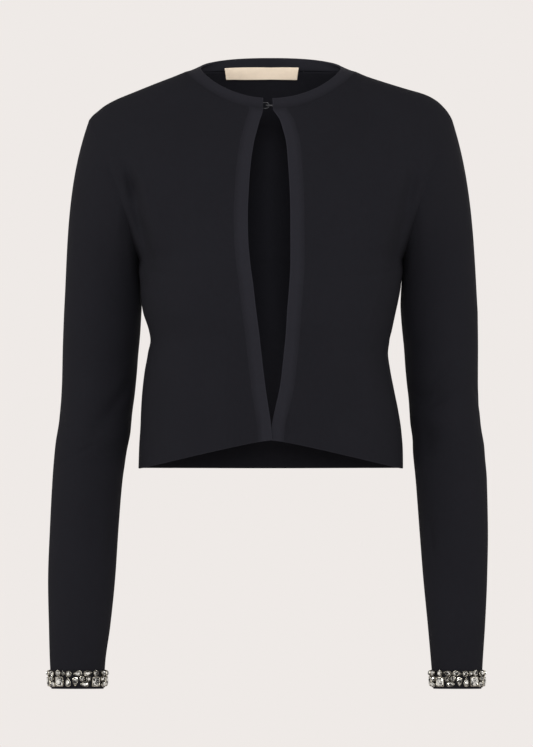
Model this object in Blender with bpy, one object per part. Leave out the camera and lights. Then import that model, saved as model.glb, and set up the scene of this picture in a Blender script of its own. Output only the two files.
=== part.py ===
"""A cropped, round-necked knit cardigan, open in front and closed at the neck by one hook and eye.

The garment is filled out and hollow, as when worn. Every cloth piece is a thin wall: its outer
skin is worked out from the tables below, and its inner skin lies one cloth thickness inside.
The pieces are those that a maker cuts and sews: back, two fronts, two sleeves, neck band, two
front bands, a strip of stones at each cuff, a blank label, a hook and an eye.

+Z is up and the garment's front faces -Y, so the wearer's left is +X. The origin lies between
the two points where the neck band crosses the shoulders, at their height. Tables and sizes are
in millimetres, and the meshes are in metres.
"""

import bpy
import bmesh
import numpy as np
from math import pi

MM = 0.001

# Driving sizes.
CLOTH = 1.6            # fine knit, with the ease of its two faces
BAND_CLOTH = 2.2       # the bands are knitted double
SEAM_GAP = 0.36        # clearance between two pieces that are sewn together
SAME_POINT = 0.0137    # points of two skins that are closer than this are one
FRONT_BAND = 14.5      # width of the bands down the opening
NECK_INSIDE = 75.0     # half the neck opening, at the shoulder
NECK_SEAM = 91.0       # half the width between the band's seams, at the shoulder
SHOULDER_TIP = 194.5   # half the width between the sleeve seams, at the shoulder
NECK_FRONT = 56.5      # how far the band's free edge lies forward, seen from above
NECK_BACK = 50.5       # and how far back
NECK_DROP = 37.3       # from the shoulder down to the band's inner edge in front
NECK_SEAM_DROP = 44.7  # from the band's seam at the shoulder down to its seam in front
NECK_SEAM_END = -49.0  # height of the band's seam at the front opening
NECK_EDGE_END = -37.0  # height of the band's free edge there
NECK_RISE = 16.0       # from the shoulder up to the band's inner edge behind
NECK_SEAM_RISE = 6.1   # from the band's seam at the shoulder up to its seam behind
HEM_SIDE = -428.0      # height of the hem at the side seams
HEM_BACK_DIP = 3.2     # how much lower the hem hangs in the middle of the back
HEM_FRONT = -395.5     # height of the hem at the front opening
HEM_HALF_WIDTH = 141.0
HEM_HOLLOW = 1.15      # power of the front hem's curve, where 1 is straight
UNDERARM = -207.0
FRONT_TURN = -235.0    # where the row from the underarm meets the front band
BICEPS = -261.0        # below this the sleeve hangs in level rings
CUFF = -661.4
TILT_START = -441.0    # below this the sleeve's rings tilt, to be square with the forearm
CUFF_TILT = 2.6        # at the cuff, where the front is this much higher than the middle
SECTION_POWER = 2.4    # a torso section is a superellipse of this power
FRONT_ARCH = 110.0     # how far below the shoulder the front reaches its full depth
BACK_ARCH = 70.0
SEAM_ROUND = 0.9       # powers of the neckline's curve: of the band's seam, and of its free
EDGE_ROUND_FRONT = 0.75  # edge in front
EDGE_ROUND_BACK = 0.45  # and behind
LAP_REACH = 26.0       # how far from the middle one front lies on the other
LAP_TOP = -358.0       # below this height
LAP_FADE = 9.0         # within this many mm of it
LAP_STEP = 1.5

# How many steps each piece is divided into.
LOW_ROWS = 11          # hem to underarm
ARM_ROWS = 10          # underarm to shoulder tip
NECK_COLUMNS = 7       # front neckline, from the front band to the shoulder
SHOULDER_COLUMNS = 8   # neck to shoulder tip
BACK_NECK_COLUMNS = 12
CAP_ROWS = 8           # armhole to biceps
CROWDING = 0.09        # how much closer the armhole's steps are at the shoulder
TOP_START = 1.5        # power with which rows above the underarm turn into the top edge
LOOP_STEPS = 9         # points round the eye's loop
CURL_STEPS = 7         # and round the hook's bend

WEARER_LEFT = 1
WEARER_RIGHT = -1
FRONT = -1
BACK = 1


def table(columns, *rows):
    """Named columns, each an array, from rows of numbers."""
    return dict(zip(columns.split(), np.array(rows, dtype=float).T))


# Sections of the torso. Above the underarm half_width is that of the whole section, of which
# the armholes cut away the ends.
TORSO = table(
    "height half_width middle front back side",
    (-430, 141.0, 0.0, 110, 97, -8),
    (-408, 140.5, 0.2, 110, 94.5, -8.6),
    (-387, 139.0, 0.0, 110, 91.5, -9.3),
    (-366, 136.9, -1.2, 110.4, 87.3, -10.1),
    (-345, 134.0, -2.6, 111, 83, -11),
    (-323, 130.5, -3.4, 112.5, 79, -11.6),
    (-306, 127.8, -3.0, 113.6, 76.6, -12),
    (-293, 127.1, -0.9, 114.8, 76.2, -12),
    (-281, 129.3, -0.4, 116.2, 77, -12),
    (-262, 134.4, -1.4, 118, 79, -11),
    (-248, 137.1, -1.0, 119, 82, -9.5),
    (-235, 138.8, -0.3, 120, 85, -8),
    (-207, 140.5, 0.0, 118, 92, -5),
    (-202, 142.8, 0.0, 118, 93, -4),
    (-190, 149.9, 0.0, 117, 94, -3),
    (-170, 163.4, 0.0, 113, 95, -1),
    (-148, 180.0, 0.0, 106, 95, 0),
    (-122, 194.0, 0.0, 97, 92, 1),
    (-95, 210.0, 0.0, 86, 85, 2),
    (-56, 228.0, 0.0, 66, 75, 3),
    (-37, 232.0, 0.0, 58, 68, 2),
    (0, 235.0, 0.0, 53, 56, 0),
    (16, 235.0, 0.0, 51, 53, 0),
)

# The line where front and back meet over the shoulder. Inside the neck it is only a guide,
# which sets how round the neckline is when seen from above.
SHOULDER = table(
    "across left_height right_height",
    (0, 62.0, 62.0),
    (24, 43.5, 43.5),
    (45, 26.4, 26.4),
    (64, 11.6, 11.6),
    (72, 6.0, 6.0),
    (79, 1.6, 1.6),
    (85, -1.8, -1.8),
    (91, -4.3, -4.3),
    (102, -9.0, -8.8),
    (124, -16.2, -17.2),
    (145, -22.6, -25.6),
    (165, -28.5, -33.8),
    (177, -34.8, -40.2),
    (186, -43.0, -47.2),
    (191, -49.5, -51.5),
    (194.5, -56.0, -56.0),
)

# The armhole seam, from the underarm to the shoulder tip.
ARMHOLE = table(
    "height front back",
    (-207, 140.5, 140.5),
    (-202, 142.0, 142.2),
    (-190, 145.0, 147.0),
    (-170, 150.0, 153.0),
    (-148, 156.5, 160.0),
    (-122, 166.0, 168.5),
    (-95, 177.5, 179.0),
    (-74, 187.0, 188.0),
    (-56, 194.5, 194.5),
)

# The edges of the front opening, which the hook holds at the neck and which meet at the hem.
OPENING = table(
    "height wearer_right wearer_left",
    (-399, 1.6, -1.4),
    (-378, 0.0, 1.2),
    (-362, -2.4, 4.6),
    (-338, -5.9, 9.7),
    (-312, -9.0, 12.7),
    (-287, -11.8, 15.2),
    (-261, -15.2, 16.8),
    (-235, -18.2, 18.9),
    (-212, -21.3, 20.1),
    (-186, -23.4, 20.1),
    (-161, -23.8, 20.1),
    (-136, -22.8, 19.5),
    (-110, -21.0, 18.0),
    (-85, -17.5, 16.0),
    (-72, -14.4, 12.9),
    (-60, -11.2, 9.2),
    (-54, -9.2, 5.6),
    (-48, -8.2, 2.2),
    (-37, -8.0, 1.6),
)

# Sleeve sections below the biceps, seen from the front, and how far the sleeve is from the
# plane of the shoulders. The forearm swings forward.
SLEEVE = table(
    "height left_inner left_outer right_inner right_outer middle half_depth",
    (-661.4, 172.3, 223.4, 177.2, 232.6, -27, 27.0),
    (-632, 170.0, 225.0, 175.4, 234.4, -25, 28.0),
    (-595, 166.9, 227.7, 170.4, 235.7, -21, 30.0),
    (-544, 162.3, 230.5, 165.5, 237.1, -14, 33.0),
    (-492, 158.6, 231.9, 162.4, 235.7, -6, 36.0),
    (-441, 155.1, 231.4, 158.5, 233.6, 2, 38.0),
    (-404, 151.6, 227.9, 152.8, 230.9, 8, 40.0),
    (-376, 149.4, 224.8, 148.8, 226.8, 11, 42.0),
    (-338, 146.2, 222.6, 144.8, 224.2, 14, 44.0),
    (-300, 142.6, 222.8, 141.1, 223.4, 15, 46.0),
    (-261, 139.7, 222.4, 138.8, 222.0, 15, 47.5),
)

# How the sleeve leaves the armhole, by the angle round the sleeve: 0 is the shoulder, 90 the
# front, 180 the underarm. Each is a share of the straight distance to the biceps.
SLEEVE_START = table(
    "angle left_out right_out back down",
    (0, 0.31, 0.35, 0.02, 0.97),
    (45, 0.43, 0.455, -0.07, 0.88),
    (90, 0.46, 0.46, -0.06, 0.8),
    (135, 0.3, 0.3, 0.02, 0.87),
    (180, 0.03, 0.03, 0.24, 1.0),
    (225, 0.3, 0.3, 0.1, 0.87),
    (270, 0.46, 0.46, 0.06, 0.8),
    (315, 0.43, 0.455, 0.07, 0.88),
    (360, 0.31, 0.35, 0.02, 0.97),
)

# The largest folds of the fronts (side -1) and back (side 1). A fold is an upright, soft
# hump, or a trough where rise is negative. lean is how far it moves across for each mm down.
FOLDS = table(
    "side across height half_width half_length lean rise",
    (-1, -143, -160, 9, 44, 0.20, -5.4),
    (-1, -122, -198, 10, 44, -0.12, 2.6),
    (-1, -112, -255, 8, 40, 0.00, -1.6),
    (-1, 143, -158, 9, 44, -0.20, -4.6),
    (-1, 121, -205, 10, 46, 0.10, 2.4),
    (-1, 85, -335, 11, 82, 0.02, -3.0),
    (-1, 62, -330, 12, 74, 0.04, 2.0),
    (-1, 106, -330, 10, 66, 0.00, 2.2),
    (-1, -70, -352, 15, 62, 0.04, -1.8),
    (-1, -46, -345, 14, 70, 0.02, 1.6),
    (1, -146, -150, 9, 42, 0.10, -3.4),
    (1, 146, -150, 9, 42, -0.10, -3.4),
    (1, -92, -318, 13, 70, -0.05, -3.2),
    (1, -66, -330, 14, 80, -0.03, 2.4),
    (1, 24, -300, 16, 84, 0.02, -2.2),
    (1, 88, -322, 13, 68, 0.06, -3.4),
    (1, 62, -336, 14, 76, 0.04, 2.2),
)

# The largest folds of the sleeves. angle is as in SLEEVE_START, and lean is in degrees for
# each mm down.
SLEEVE_FOLDS = table(
    "hand angle height half_angle half_length lean rise",
    (1, 128, -352, 40, 10, 0.3, -3.2),
    (1, 120, -376, 42, 10, 0.3, 2.2),
    (1, 140, -398, 44, 11, -0.4, -2.8),
    (1, 40, -404, 46, 12, 0.0, 1.6),
    (1, 250, -372, 50, 12, 0.2, -2.2),
    (1, 150, -300, 34, 16, 0.0, -1.8),
    (-1, 130, -366, 42, 11, 0.3, -2.6),
    (-1, 136, -392, 42, 11, -0.3, 1.8),
    (-1, 128, -412, 44, 11, -0.3, -2.4),
    (-1, 250, -386, 50, 12, 0.2, -2.2),
    (-1, 146, -306, 34, 16, 0.0, -1.6),
)

# One repeat of the stones on a cuff. Every stone has its place in the repeat, its height above
# the strip's lower edge, its size, the number of its sides and its turn, in degrees from level.
STRIP_HEIGHT = 18.5
STRIP_CLOTH = 1.0
STRIP_ABOVE_CUFF = 1.6
STRIP_COLUMNS = 2 * ARM_ROWS
STRIP_REPEATS = 3
STONE_RISE = 3.4
STONE_FOOT = 0.5       # how far out a stone starts, inside the strip's thickness
STONE_TABLE = 0.6      # the flat top of a stone, as a share of its width
STONES = table(
    "along up length breadth sides turn",
    (0.102, 6.3, 10.4, 10.4, 4, 45),
    (0.095, 15.2, 6.4, 6.4, 6, 0),
    (0.286, 3.6, 9.6, 5.6, 5, 180),
    (0.280, 9.5, 9.6, 5.6, 5, 0),
    (0.271, 15.3, 9.6, 5.6, 5, 165),
    (0.461, 6.5, 10.4, 10.4, 4, 45),
    (0.441, 15.3, 6.6, 6.6, 6, 0),
    (0.539, 15.0, 4.2, 4.2, 6, 0),
    (0.620, 5.9, 10.0, 6.0, 5, 90),
    (0.634, 14.6, 6.2, 6.2, 6, 0),
    (0.742, 6.3, 9.8, 6.0, 5, 270),
    (0.780, 14.9, 9.6, 5.8, 5, 185),
    (0.892, 3.7, 9.6, 5.6, 5, 180),
    (0.854, 9.5, 5.8, 5.8, 6, 0),
    (0.947, 15.3, 9.6, 5.6, 5, 12),
    (0.958, 9.3, 5.4, 5.4, 6, 0),
)

# The label behind the neck, blank.
LABEL_MIDDLE = -10.0
LABEL_WIDTH = 81.0
LABEL_LOW = -6.3       # height of the back's skin behind its lower edge
LABEL_ON_BAND = 0.32   # how far it covers the neck band, as a share of the band
LABEL_CLOTH = 1.0
LABEL_COLUMNS = 14
LABEL_CLEAR = 0.6

# Hook and eye, of flat wire and of round wire. All but the first are measured from the place
# where the two are fastened.
FASTENER_HEIGHT = -45.2
FASTENER_CLEAR = 1.7
EYE_WIRE = 0.45
EYE_LOOP = 3.0
EYE_TIP = -1.6
EYE_ROOT = -13.0
HOOK_WIRE = 0.7
HOOK_WIDTH = 2.0
HOOK_MOUTH = 1.2
HOOK_TIP = -4.4
HOOK_END = 0.6
HOOK_ROOT = 7.5


def smooth(at, knots, values):
    """A cubic through the knots that never overshoots: each slope is the harmonic mean of its
    neighbours, or level where they turn."""
    order = np.argsort(knots)
    knots, values = knots[order], values[order]
    at = np.clip(at, knots[0], knots[-1])
    step = np.diff(knots)
    rise = np.diff(values) / step
    slope = np.zeros_like(values)
    product = rise[:-1] * rise[1:]
    total = rise[:-1] + rise[1:]
    same = product > 0
    slope[1:-1][same] = 2 * product[same] / total[same]
    slope[0], slope[-1] = rise[0], rise[-1]
    k = np.clip(np.searchsorted(knots, at, side="right") - 1, 0, len(step) - 1)
    t = (at - knots[k]) / step[k]
    return ((1 + 2 * t) * (1 - t) ** 2 * values[k] + t * (1 - t) ** 2 * step[k] * slope[k]
            + t ** 2 * (3 - 2 * t) * values[k + 1] + t ** 2 * (t - 1) * step[k] * slope[k + 1])


def read(rows, column, at, by="height"):
    return smooth(at, rows[by], rows[column])


def shoulder_height(x):
    left = read(SHOULDER, "left_height", np.abs(x), by="across")
    right = read(SHOULDER, "right_height", np.abs(x), by="across")
    return np.where(np.asarray(x) > 0, left, right)


def folds(x, z, side):
    """Sum of soft humps and troughs, each a bell across times a bell along."""
    total = np.zeros_like(x)
    for row in np.flatnonzero(FOLDS["side"] == side):
        down = FOLDS["height"][row] - z
        across = x - FOLDS["across"][row] - FOLDS["lean"][row] * down
        total += FOLDS["rise"][row] * np.exp(
            -(across / FOLDS["half_width"][row]) ** 2 - (down / FOLDS["half_length"][row]) ** 2)
    return total


def torso(x, z, side):
    """Point of the torso's outer skin: depth = table depth x superellipse across x round arch
    under the shoulder line, so that front and back meet on that line and on the side seams."""
    x, z = np.broadcast_arrays(np.asarray(x, float), np.asarray(z, float))
    across = np.abs(x - read(TORSO, "middle", z)) / read(TORSO, "half_width", z)
    fullness = (1 - np.minimum(across, 1) ** SECTION_POWER) ** (1 / SECTION_POWER)
    drop = np.maximum(shoulder_height(x) - z, 0)
    reach = np.minimum(drop / (FRONT_ARCH if side == FRONT else BACK_ARCH), 1)
    arch = np.sqrt(1 - (1 - reach) ** 2)
    depth = read(TORSO, "front" if side == FRONT else "back", z) + folds(x, z, side)
    y = read(TORSO, "side", z) + side * depth * fullness * arch
    return np.stack([x, y, z], axis=-1)


def turn(x, z):
    """The angle round a torso section at which x lies, from -90 to 90 degrees, in radians."""
    share = (x - read(TORSO, "middle", z)) / read(TORSO, "half_width", z)
    return np.arcsin(np.clip(share, -1, 1))


def hem_height(x):
    """The fronts' hem rises from the side seam to the opening on a slightly hollow line."""
    share = np.clip(np.abs(x) / HEM_HALF_WIDTH, 0, 1)
    return HEM_FRONT + (HEM_SIDE - HEM_FRONT) * share ** HEM_HOLLOW


def opening(z, hand):
    return read(OPENING, "wearer_left" if hand > 0 else "wearer_right", z)


def neck_seam_height(x, side):
    curve = (1 - np.clip(np.abs(x) / NECK_SEAM, 0, 1) ** 2) ** SEAM_ROUND
    start = shoulder_height(np.array(NECK_SEAM))
    return start + (NECK_SEAM_RISE if side == BACK else -NECK_SEAM_DROP) * curve


def neck_strip(seam_x, edge_x, side, share):
    """Points of the neck band, share of the way from its seam on the torso to its free edge.
    Seen from above the free edge is half an ellipse in front and half an ellipse behind."""
    rest = 1 - np.clip(np.abs(edge_x) / NECK_INSIDE, 0, 1) ** 2
    depth = NECK_FRONT if side == FRONT else NECK_BACK
    height = (NECK_RISE * rest ** EDGE_ROUND_BACK if side == BACK
              else -NECK_DROP * rest ** EDGE_ROUND_FRONT)
    edge = np.stack([edge_x, side * depth * np.sqrt(rest), height], axis=-1)
    seam = torso(seam_x, neck_seam_height(seam_x, side), side)
    share = np.asarray(share, float)[:, None, None]
    return (1 - share) * seam + share * edge


def armhole(share, side):
    """x and z along the armhole seam; share runs evenly from 0, the underarm, to 1."""
    x = ARMHOLE["front" if side == FRONT else "back"]
    z = ARMHOLE["height"]
    steps = np.linalg.norm(np.diff(torso(x, z, side), axis=0), axis=1)
    knots = np.concatenate([[0], np.cumsum(steps)])
    return smooth(share * knots[-1], knots, x), smooth(share * knots[-1], knots, z)


def arm_shares():
    """Steps from 0, the underarm, to 1, the shoulder, that grow closer towards the shoulder."""
    even = np.linspace(0, 1, ARM_ROWS + 1)
    return even + CROWDING * np.sin(pi * even)


def neck_line(start, end, count):
    """x values along a neckline, as even turns round the neck."""
    turns = np.linspace(np.arcsin(start / NECK_SEAM), np.arcsin(end / NECK_SEAM), count + 1)
    return NECK_SEAM * np.sin(turns)


def side_line(side):
    """x and z up the side seam and then up the armhole, for the wearer's left."""
    low = np.linspace(HEM_SIDE, UNDERARM, LOW_ROWS + 1)[:-1]
    arm_x, arm_z = armhole(arm_shares(), side)
    low_x = read(TORSO, "half_width", low)
    return np.concatenate([low_x, arm_x]), np.concatenate([low, arm_z])


def coons(bottom, top, first, last):
    """Fill four edge lines, each an array of (turn, height) rows, with a smooth grid: the sum
    of the two ruled surfaces less the one through the corners. Rows below the underarm keep
    the shape of the hem, and those above it turn gradually into the top edge."""
    u = np.linspace(0, 1, len(bottom))[None, :, None]
    v = np.concatenate([np.zeros(LOW_ROWS), arm_shares() ** TOP_START])[:, None, None]
    return ((1 - v) * bottom[None] + v * top[None] + (1 - u) * first[:, None] + u * last[:, None]
            - (1 - u) * (1 - v) * bottom[0] - u * (1 - v) * bottom[-1]
            - (1 - u) * v * top[0] - u * v * top[-1])


def on_torso(grid, side):
    """Torso points of a grid of (turn, height)."""
    angle, z = grid[..., 0], grid[..., 1]
    x = read(TORSO, "middle", z) + read(TORSO, "half_width", z) * np.sin(angle)
    return torso(x, z, side)


def line(x, z, side_seam=None):
    """Rows of (turn, height); a point on the side seam is turned by exactly a quarter."""
    angle = turn(x, z)
    if side_seam is not None:
        angle[:LOW_ROWS + 1] = side_seam * pi / 2
    return np.stack([angle, z], axis=-1)


def band_seam(hand):
    """x and z of the seam between a front and its band, from the hem up to the neck band."""
    z = np.concatenate([np.linspace(HEM_FRONT, FRONT_TURN, LOW_ROWS + 1)[:-1],
                        FRONT_TURN + (NECK_SEAM_END - FRONT_TURN) * arm_shares()])
    x = opening(z, hand) + hand * FRONT_BAND
    z[0] = hem_height(x[0])
    z[-1] = neck_seam_height(x[-1], FRONT)
    return x, z


def lap(points, hand):
    """The wearer's right front lies over the left one where they meet above the hem: each
    moves half a step out or in, near its edge and below the point where the edges meet."""
    x, z = points[..., 0], points[..., 2]
    near = np.exp(-(x / LAP_REACH) ** 2) / (1 + np.exp((z - LAP_TOP) / LAP_FADE))
    points[..., 1] += hand * LAP_STEP * near
    return points


def front_skin(hand):
    """Columns run from the front band to the side, and rows from the hem to the shoulder."""
    columns = NECK_COLUMNS + SHOULDER_COLUMNS
    seam_x, seam_z = band_seam(hand)
    side_x, side_z = side_line(FRONT)
    start, end = turn(seam_x[0], seam_z[0]), hand * pi / 2
    hem_angle = np.linspace(start, end, columns + 1)
    hem_z = hem_height(HEM_HALF_WIDTH * np.sin(hem_angle))
    hem_z[0] = seam_z[0]
    neck_x = neck_line(seam_x[-1], hand * NECK_SEAM, NECK_COLUMNS)[:-1]
    shoulder_x = hand * np.linspace(NECK_SEAM, SHOULDER_TIP, SHOULDER_COLUMNS + 1)
    top = line(np.concatenate([neck_x, shoulder_x]),
               np.concatenate([neck_seam_height(neck_x, FRONT), shoulder_height(shoulder_x)]))
    grid = coons(np.stack([hem_angle, hem_z], axis=-1), top,
                 line(seam_x, seam_z), line(hand * side_x, side_z, side_seam=hand))
    return lap(on_torso(grid, FRONT), hand)


def front_band_skin(hand):
    """A strip from the opening's edge to the seam, with the same rows as the front."""
    seam_x, seam_z = band_seam(hand)
    edge_x, edge_z = opening(seam_z, hand), seam_z.copy()
    edge_z[0] = hem_height(edge_x[0])
    edge_z[-1] = neck_seam_height(edge_x[-1], FRONT)
    share = np.linspace(0, 1, 3)[None, :]
    x = edge_x[:, None] * (1 - share) + seam_x[:, None] * share
    z = edge_z[:, None] * (1 - share) + seam_z[:, None] * share
    return lap(torso(x, z, FRONT), hand)


def back_skin():
    """Columns run from the wearer's right to left, and rows from the hem to the shoulders."""
    side_x, side_z = side_line(BACK)
    columns = 2 * SHOULDER_COLUMNS + BACK_NECK_COLUMNS
    hem_angle = np.linspace(-pi / 2, pi / 2, columns + 1)
    shoulder_x = np.linspace(NECK_SEAM, SHOULDER_TIP, SHOULDER_COLUMNS + 1)
    neck_x = neck_line(-NECK_SEAM, NECK_SEAM, BACK_NECK_COLUMNS)[1:-1]
    top_x = np.concatenate([-shoulder_x[::-1], neck_x, shoulder_x])
    top_z = np.where(np.abs(top_x) < NECK_SEAM, neck_seam_height(top_x, BACK),
                     shoulder_height(top_x))
    grid = coons(np.stack([hem_angle, HEM_SIDE - HEM_BACK_DIP * np.cos(hem_angle)], axis=-1),
                 line(top_x, top_z), line(-side_x, side_z, side_seam=-1),
                 line(side_x, side_z, side_seam=1))
    return on_torso(grid, BACK)


def neck_band_skin():
    """Columns run from the wearer's right front edge round the back to the left one, and rows
    from the seam to the band's free edge."""
    skins = []
    for hand in (WEARER_RIGHT, WEARER_LEFT):
        seam_x, _ = band_seam(hand)
        seam_end, edge_end = opening(np.array([NECK_SEAM_END, NECK_EDGE_END]), hand)
        seam = np.concatenate([np.linspace(seam_end, seam_x[-1], 3)[:-1],
                               neck_line(seam_x[-1], hand * NECK_SEAM, NECK_COLUMNS)])
        edge = edge_end + (seam - seam_end) * (hand * NECK_INSIDE - edge_end) / (
            hand * NECK_SEAM - seam_end)
        skins.append(neck_strip(seam, edge, FRONT, (0, 1))[:, ::-hand])
    seam = neck_line(-NECK_SEAM, NECK_SEAM, BACK_NECK_COLUMNS)[1:-1]
    skins.insert(1, neck_strip(seam, seam * NECK_INSIDE / NECK_SEAM, BACK, (0, 1)))
    return np.concatenate(skins, axis=1)


def armhole_ring(hand):
    """The armhole seam from the shoulder tip down the front and up the back."""
    front_x, front_z = armhole(arm_shares()[::-1], FRONT)
    back_x, back_z = armhole(arm_shares()[1:-1], BACK)
    front = on_torso(line(hand * front_x, front_z), FRONT)
    back = on_torso(line(hand * back_x, back_z), BACK)
    return np.concatenate([front, back])


def sleeve_ring(hand, angle, z):
    """Level ring of the sleeve: an ellipse, with the sleeve's folds added to its size."""
    name = "left" if hand > 0 else "right"
    inner, outer = read(SLEEVE, name + "_inner", z), read(SLEEVE, name + "_outer", z)
    rise = np.zeros(np.broadcast(angle, z).shape)
    for row in np.flatnonzero(SLEEVE_FOLDS["hand"] == hand):
        down = SLEEVE_FOLDS["height"][row] - z
        across = np.degrees(angle) - SLEEVE_FOLDS["angle"][row] - SLEEVE_FOLDS["lean"][row] * down
        across = (across + 180) % 360 - 180
        rise += SLEEVE_FOLDS["rise"][row] * np.exp(
            -(across / SLEEVE_FOLDS["half_angle"][row]) ** 2
            - (down / SLEEVE_FOLDS["half_length"][row]) ** 2)
    x = hand * ((inner + outer) / 2 + ((outer - inner) / 2 + rise) * np.cos(angle))
    y = read(SLEEVE, "middle", z) - (read(SLEEVE, "half_depth", z) + rise) * np.sin(angle)
    return np.stack(np.broadcast_arrays(x, y, z), axis=-1)


def tilted(angle, z):
    """Height at an angle of the sleeve's ring that lies at z: rings tilt with the forearm."""
    share = np.clip((TILT_START - z) / (TILT_START - CUFF), 0, 1)
    return z + CUFF_TILT * share * np.sin(angle)


def sleeve_heights():
    """Ring heights below the biceps, closer together at the elbow."""
    return np.concatenate([np.linspace(BICEPS, -330, 4)[1:], np.linspace(-330, -420, 8)[1:],
                           np.linspace(-420, CUFF, 9)[1:]])


def sleeve_skin(hand):
    """Columns run round the sleeve and rows down it. Above the biceps every column is a
    Hermite curve from the armhole seam to the biceps ring; below it the rings are level."""
    ring = armhole_ring(hand)
    degrees = np.arange(len(ring)) * 360 / len(ring)
    angle = np.radians(degrees)
    biceps = sleeve_ring(hand, angle, np.full(len(ring), BICEPS))
    chord = np.linalg.norm(biceps - ring, axis=1)[:, None]
    name = "left_out" if hand > 0 else "right_out"
    away = np.stack([hand * read(SLEEVE_START, name, degrees, by="angle"),
                     read(SLEEVE_START, "back", degrees, by="angle"),
                     -read(SLEEVE_START, "down", degrees, by="angle")], axis=-1) * chord
    arrive = np.array([0.06 * hand, 0.0, -1.0]) * chord
    t = np.linspace(0, 1, CAP_ROWS + 1)[:, None, None]
    cap = ((1 + 2 * t) * (1 - t) ** 2 * ring + t * (1 - t) ** 2 * away
           + t ** 2 * (3 - 2 * t) * biceps + t ** 2 * (t - 1) * arrive)
    lower = sleeve_ring(hand, angle, tilted(angle, sleeve_heights()[:, None]))
    return np.concatenate([cap, lower])


def unit(vectors):
    return vectors / np.maximum(np.linalg.norm(vectors, axis=-1, keepdims=True), 1e-12)


def skin_normals(points, facing, closed=False):
    """Unit normals of a grid, from the steps along its rows and columns."""
    if closed:
        along = np.roll(points, -1, axis=1) - np.roll(points, 1, axis=1)
    else:
        along = np.gradient(points, axis=1)
    return unit(facing * np.cross(along, np.gradient(points, axis=0)))


def share_normals(skins, normals):
    """Give points that two or more torso pieces have in common the mean of their normals, so
    that their cut edges are parallel."""
    flat = np.concatenate([skins[name].reshape(-1, 3) for name in skins])
    given = np.concatenate([normals[name].reshape(-1, 3) for name in skins])
    _, place = np.unique(np.round(flat / SAME_POINT), axis=0, return_inverse=True)
    place = place.reshape(-1)
    total = np.zeros((place.max() + 1, 3))
    np.add.at(total, place, given)
    mean = unit(total[place])
    start = 0
    for name in skins:
        size = skins[name][..., 0].size
        normals[name] = mean[start:start + size].reshape(skins[name].shape)
        start += size


def pull_back(points, normals, edge):
    """Shift for one edge of a grid, half a seam gap towards the grid's inside."""
    turned = {"bottom": (points, normals), "top": (points[::-1], normals[::-1]),
              "first": (points.swapaxes(0, 1), normals.swapaxes(0, 1)),
              "last": (points.swapaxes(0, 1)[::-1], normals.swapaxes(0, 1)[::-1])}
    grid, facing = turned[edge]
    tangent = unit(np.gradient(grid[0], axis=0))
    inside = unit(np.cross(tangent, facing[0]))
    inside *= np.sign(np.sum(inside * (grid[1] - grid[0]), axis=-1, keepdims=True))
    return inside * SEAM_GAP / 2


def edge_of(grid, edge):
    """View of one edge of a grid."""
    return {"bottom": grid[0], "top": grid[-1], "first": grid[:, 0], "last": grid[:, -1]}[edge]


def join_sleeve(skins, normals, shifts, hand):
    """Part the sleeve from the armhole. q points from the torso to the sleeve across the seam.
    Where the seam lies in a valley each wall keeps more of its own normal, because there the
    insides of the walls lean away from each other."""
    name = "left" if hand > 0 else "right"
    front, sleeve = "front_" + name, "sleeve_" + name
    back_column = -1 if hand > 0 else 0
    arm = slice(LOW_ROWS, None)
    front_rows = [(front, row, -1) for row in range(LOW_ROWS + ARM_ROWS, LOW_ROWS - 1, -1)]
    back_rows = [("back", row, back_column) for row in range(LOW_ROWS, LOW_ROWS + ARM_ROWS + 1)]
    ring = skins[sleeve][0]
    tangent = unit(np.roll(ring, -1, axis=0) - np.roll(ring, 1, axis=0))
    body = np.array([normals[piece][row, column]
                     for piece, row, column in front_rows + back_rows[1:-1]])
    own = normals[sleeve][0]
    inward, outward = unit(hand * np.cross(tangent, body)), unit(-hand * np.cross(tangent, own))
    q = unit(outward - inward + body - own)
    valley = np.sum(body * outward, axis=-1, keepdims=True) > 0
    mitre = np.where(valley, np.clip(np.sum(body * own, axis=-1, keepdims=True), 0, 1), 1)
    middle = unit(body + own + 1e-6)
    middle = unit(middle - np.sum(middle * q, axis=-1, keepdims=True) * q)
    body_normal = unit(mitre * middle + (1 - mitre) * body)
    own_normal = unit(mitre * middle + (1 - mitre) * own)
    normals[sleeve][0] = own_normal
    shifts[sleeve][0] += q * SEAM_GAP / 2
    order = list(range(len(ring)))
    for spots, places in ((front_rows, order[:ARM_ROWS + 1]),
                          (back_rows, order[ARM_ROWS:] + order[:1])):
        for (piece, row, column), place in zip(spots, places):
            normals[piece][row, column] = body_normal[place]
            shifts[piece][row, column] -= q[place] * SEAM_GAP / 2


def wall(name, outer, inner, material, closed=False):
    """A thin solid between two grids of points, closed along its edges."""
    rows, columns = outer.shape[:2]
    vertices = np.concatenate([outer.reshape(-1, 3), inner.reshape(-1, 3)]) * MM
    steps = columns if closed else columns - 1
    offset = rows * columns
    faces = []
    for row in range(rows - 1):
        for column in range(steps):
            after = (column + 1) % columns
            quad = (row * columns + column, row * columns + after,
                    (row + 1) * columns + after, (row + 1) * columns + column)
            faces.append(quad)
            faces.append(tuple(offset + corner for corner in reversed(quad)))
    for row in (0, rows - 1):
        for column in range(steps):
            a, b = row * columns + column, row * columns + (column + 1) % columns
            rim = (a, offset + a, offset + b, b)
            faces.append(rim if row == 0 else tuple(reversed(rim)))
    for column in () if closed else (0, columns - 1):
        for row in range(rows - 1):
            a, b = row * columns + column, (row + 1) * columns + column
            rim = (a, b, offset + b, offset + a)
            faces.append(rim if column == 0 else tuple(reversed(rim)))
    mesh = bpy.data.meshes.new(name)
    mesh.from_pydata(vertices.tolist(), [], faces)
    return finish(name, mesh, material)


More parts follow.
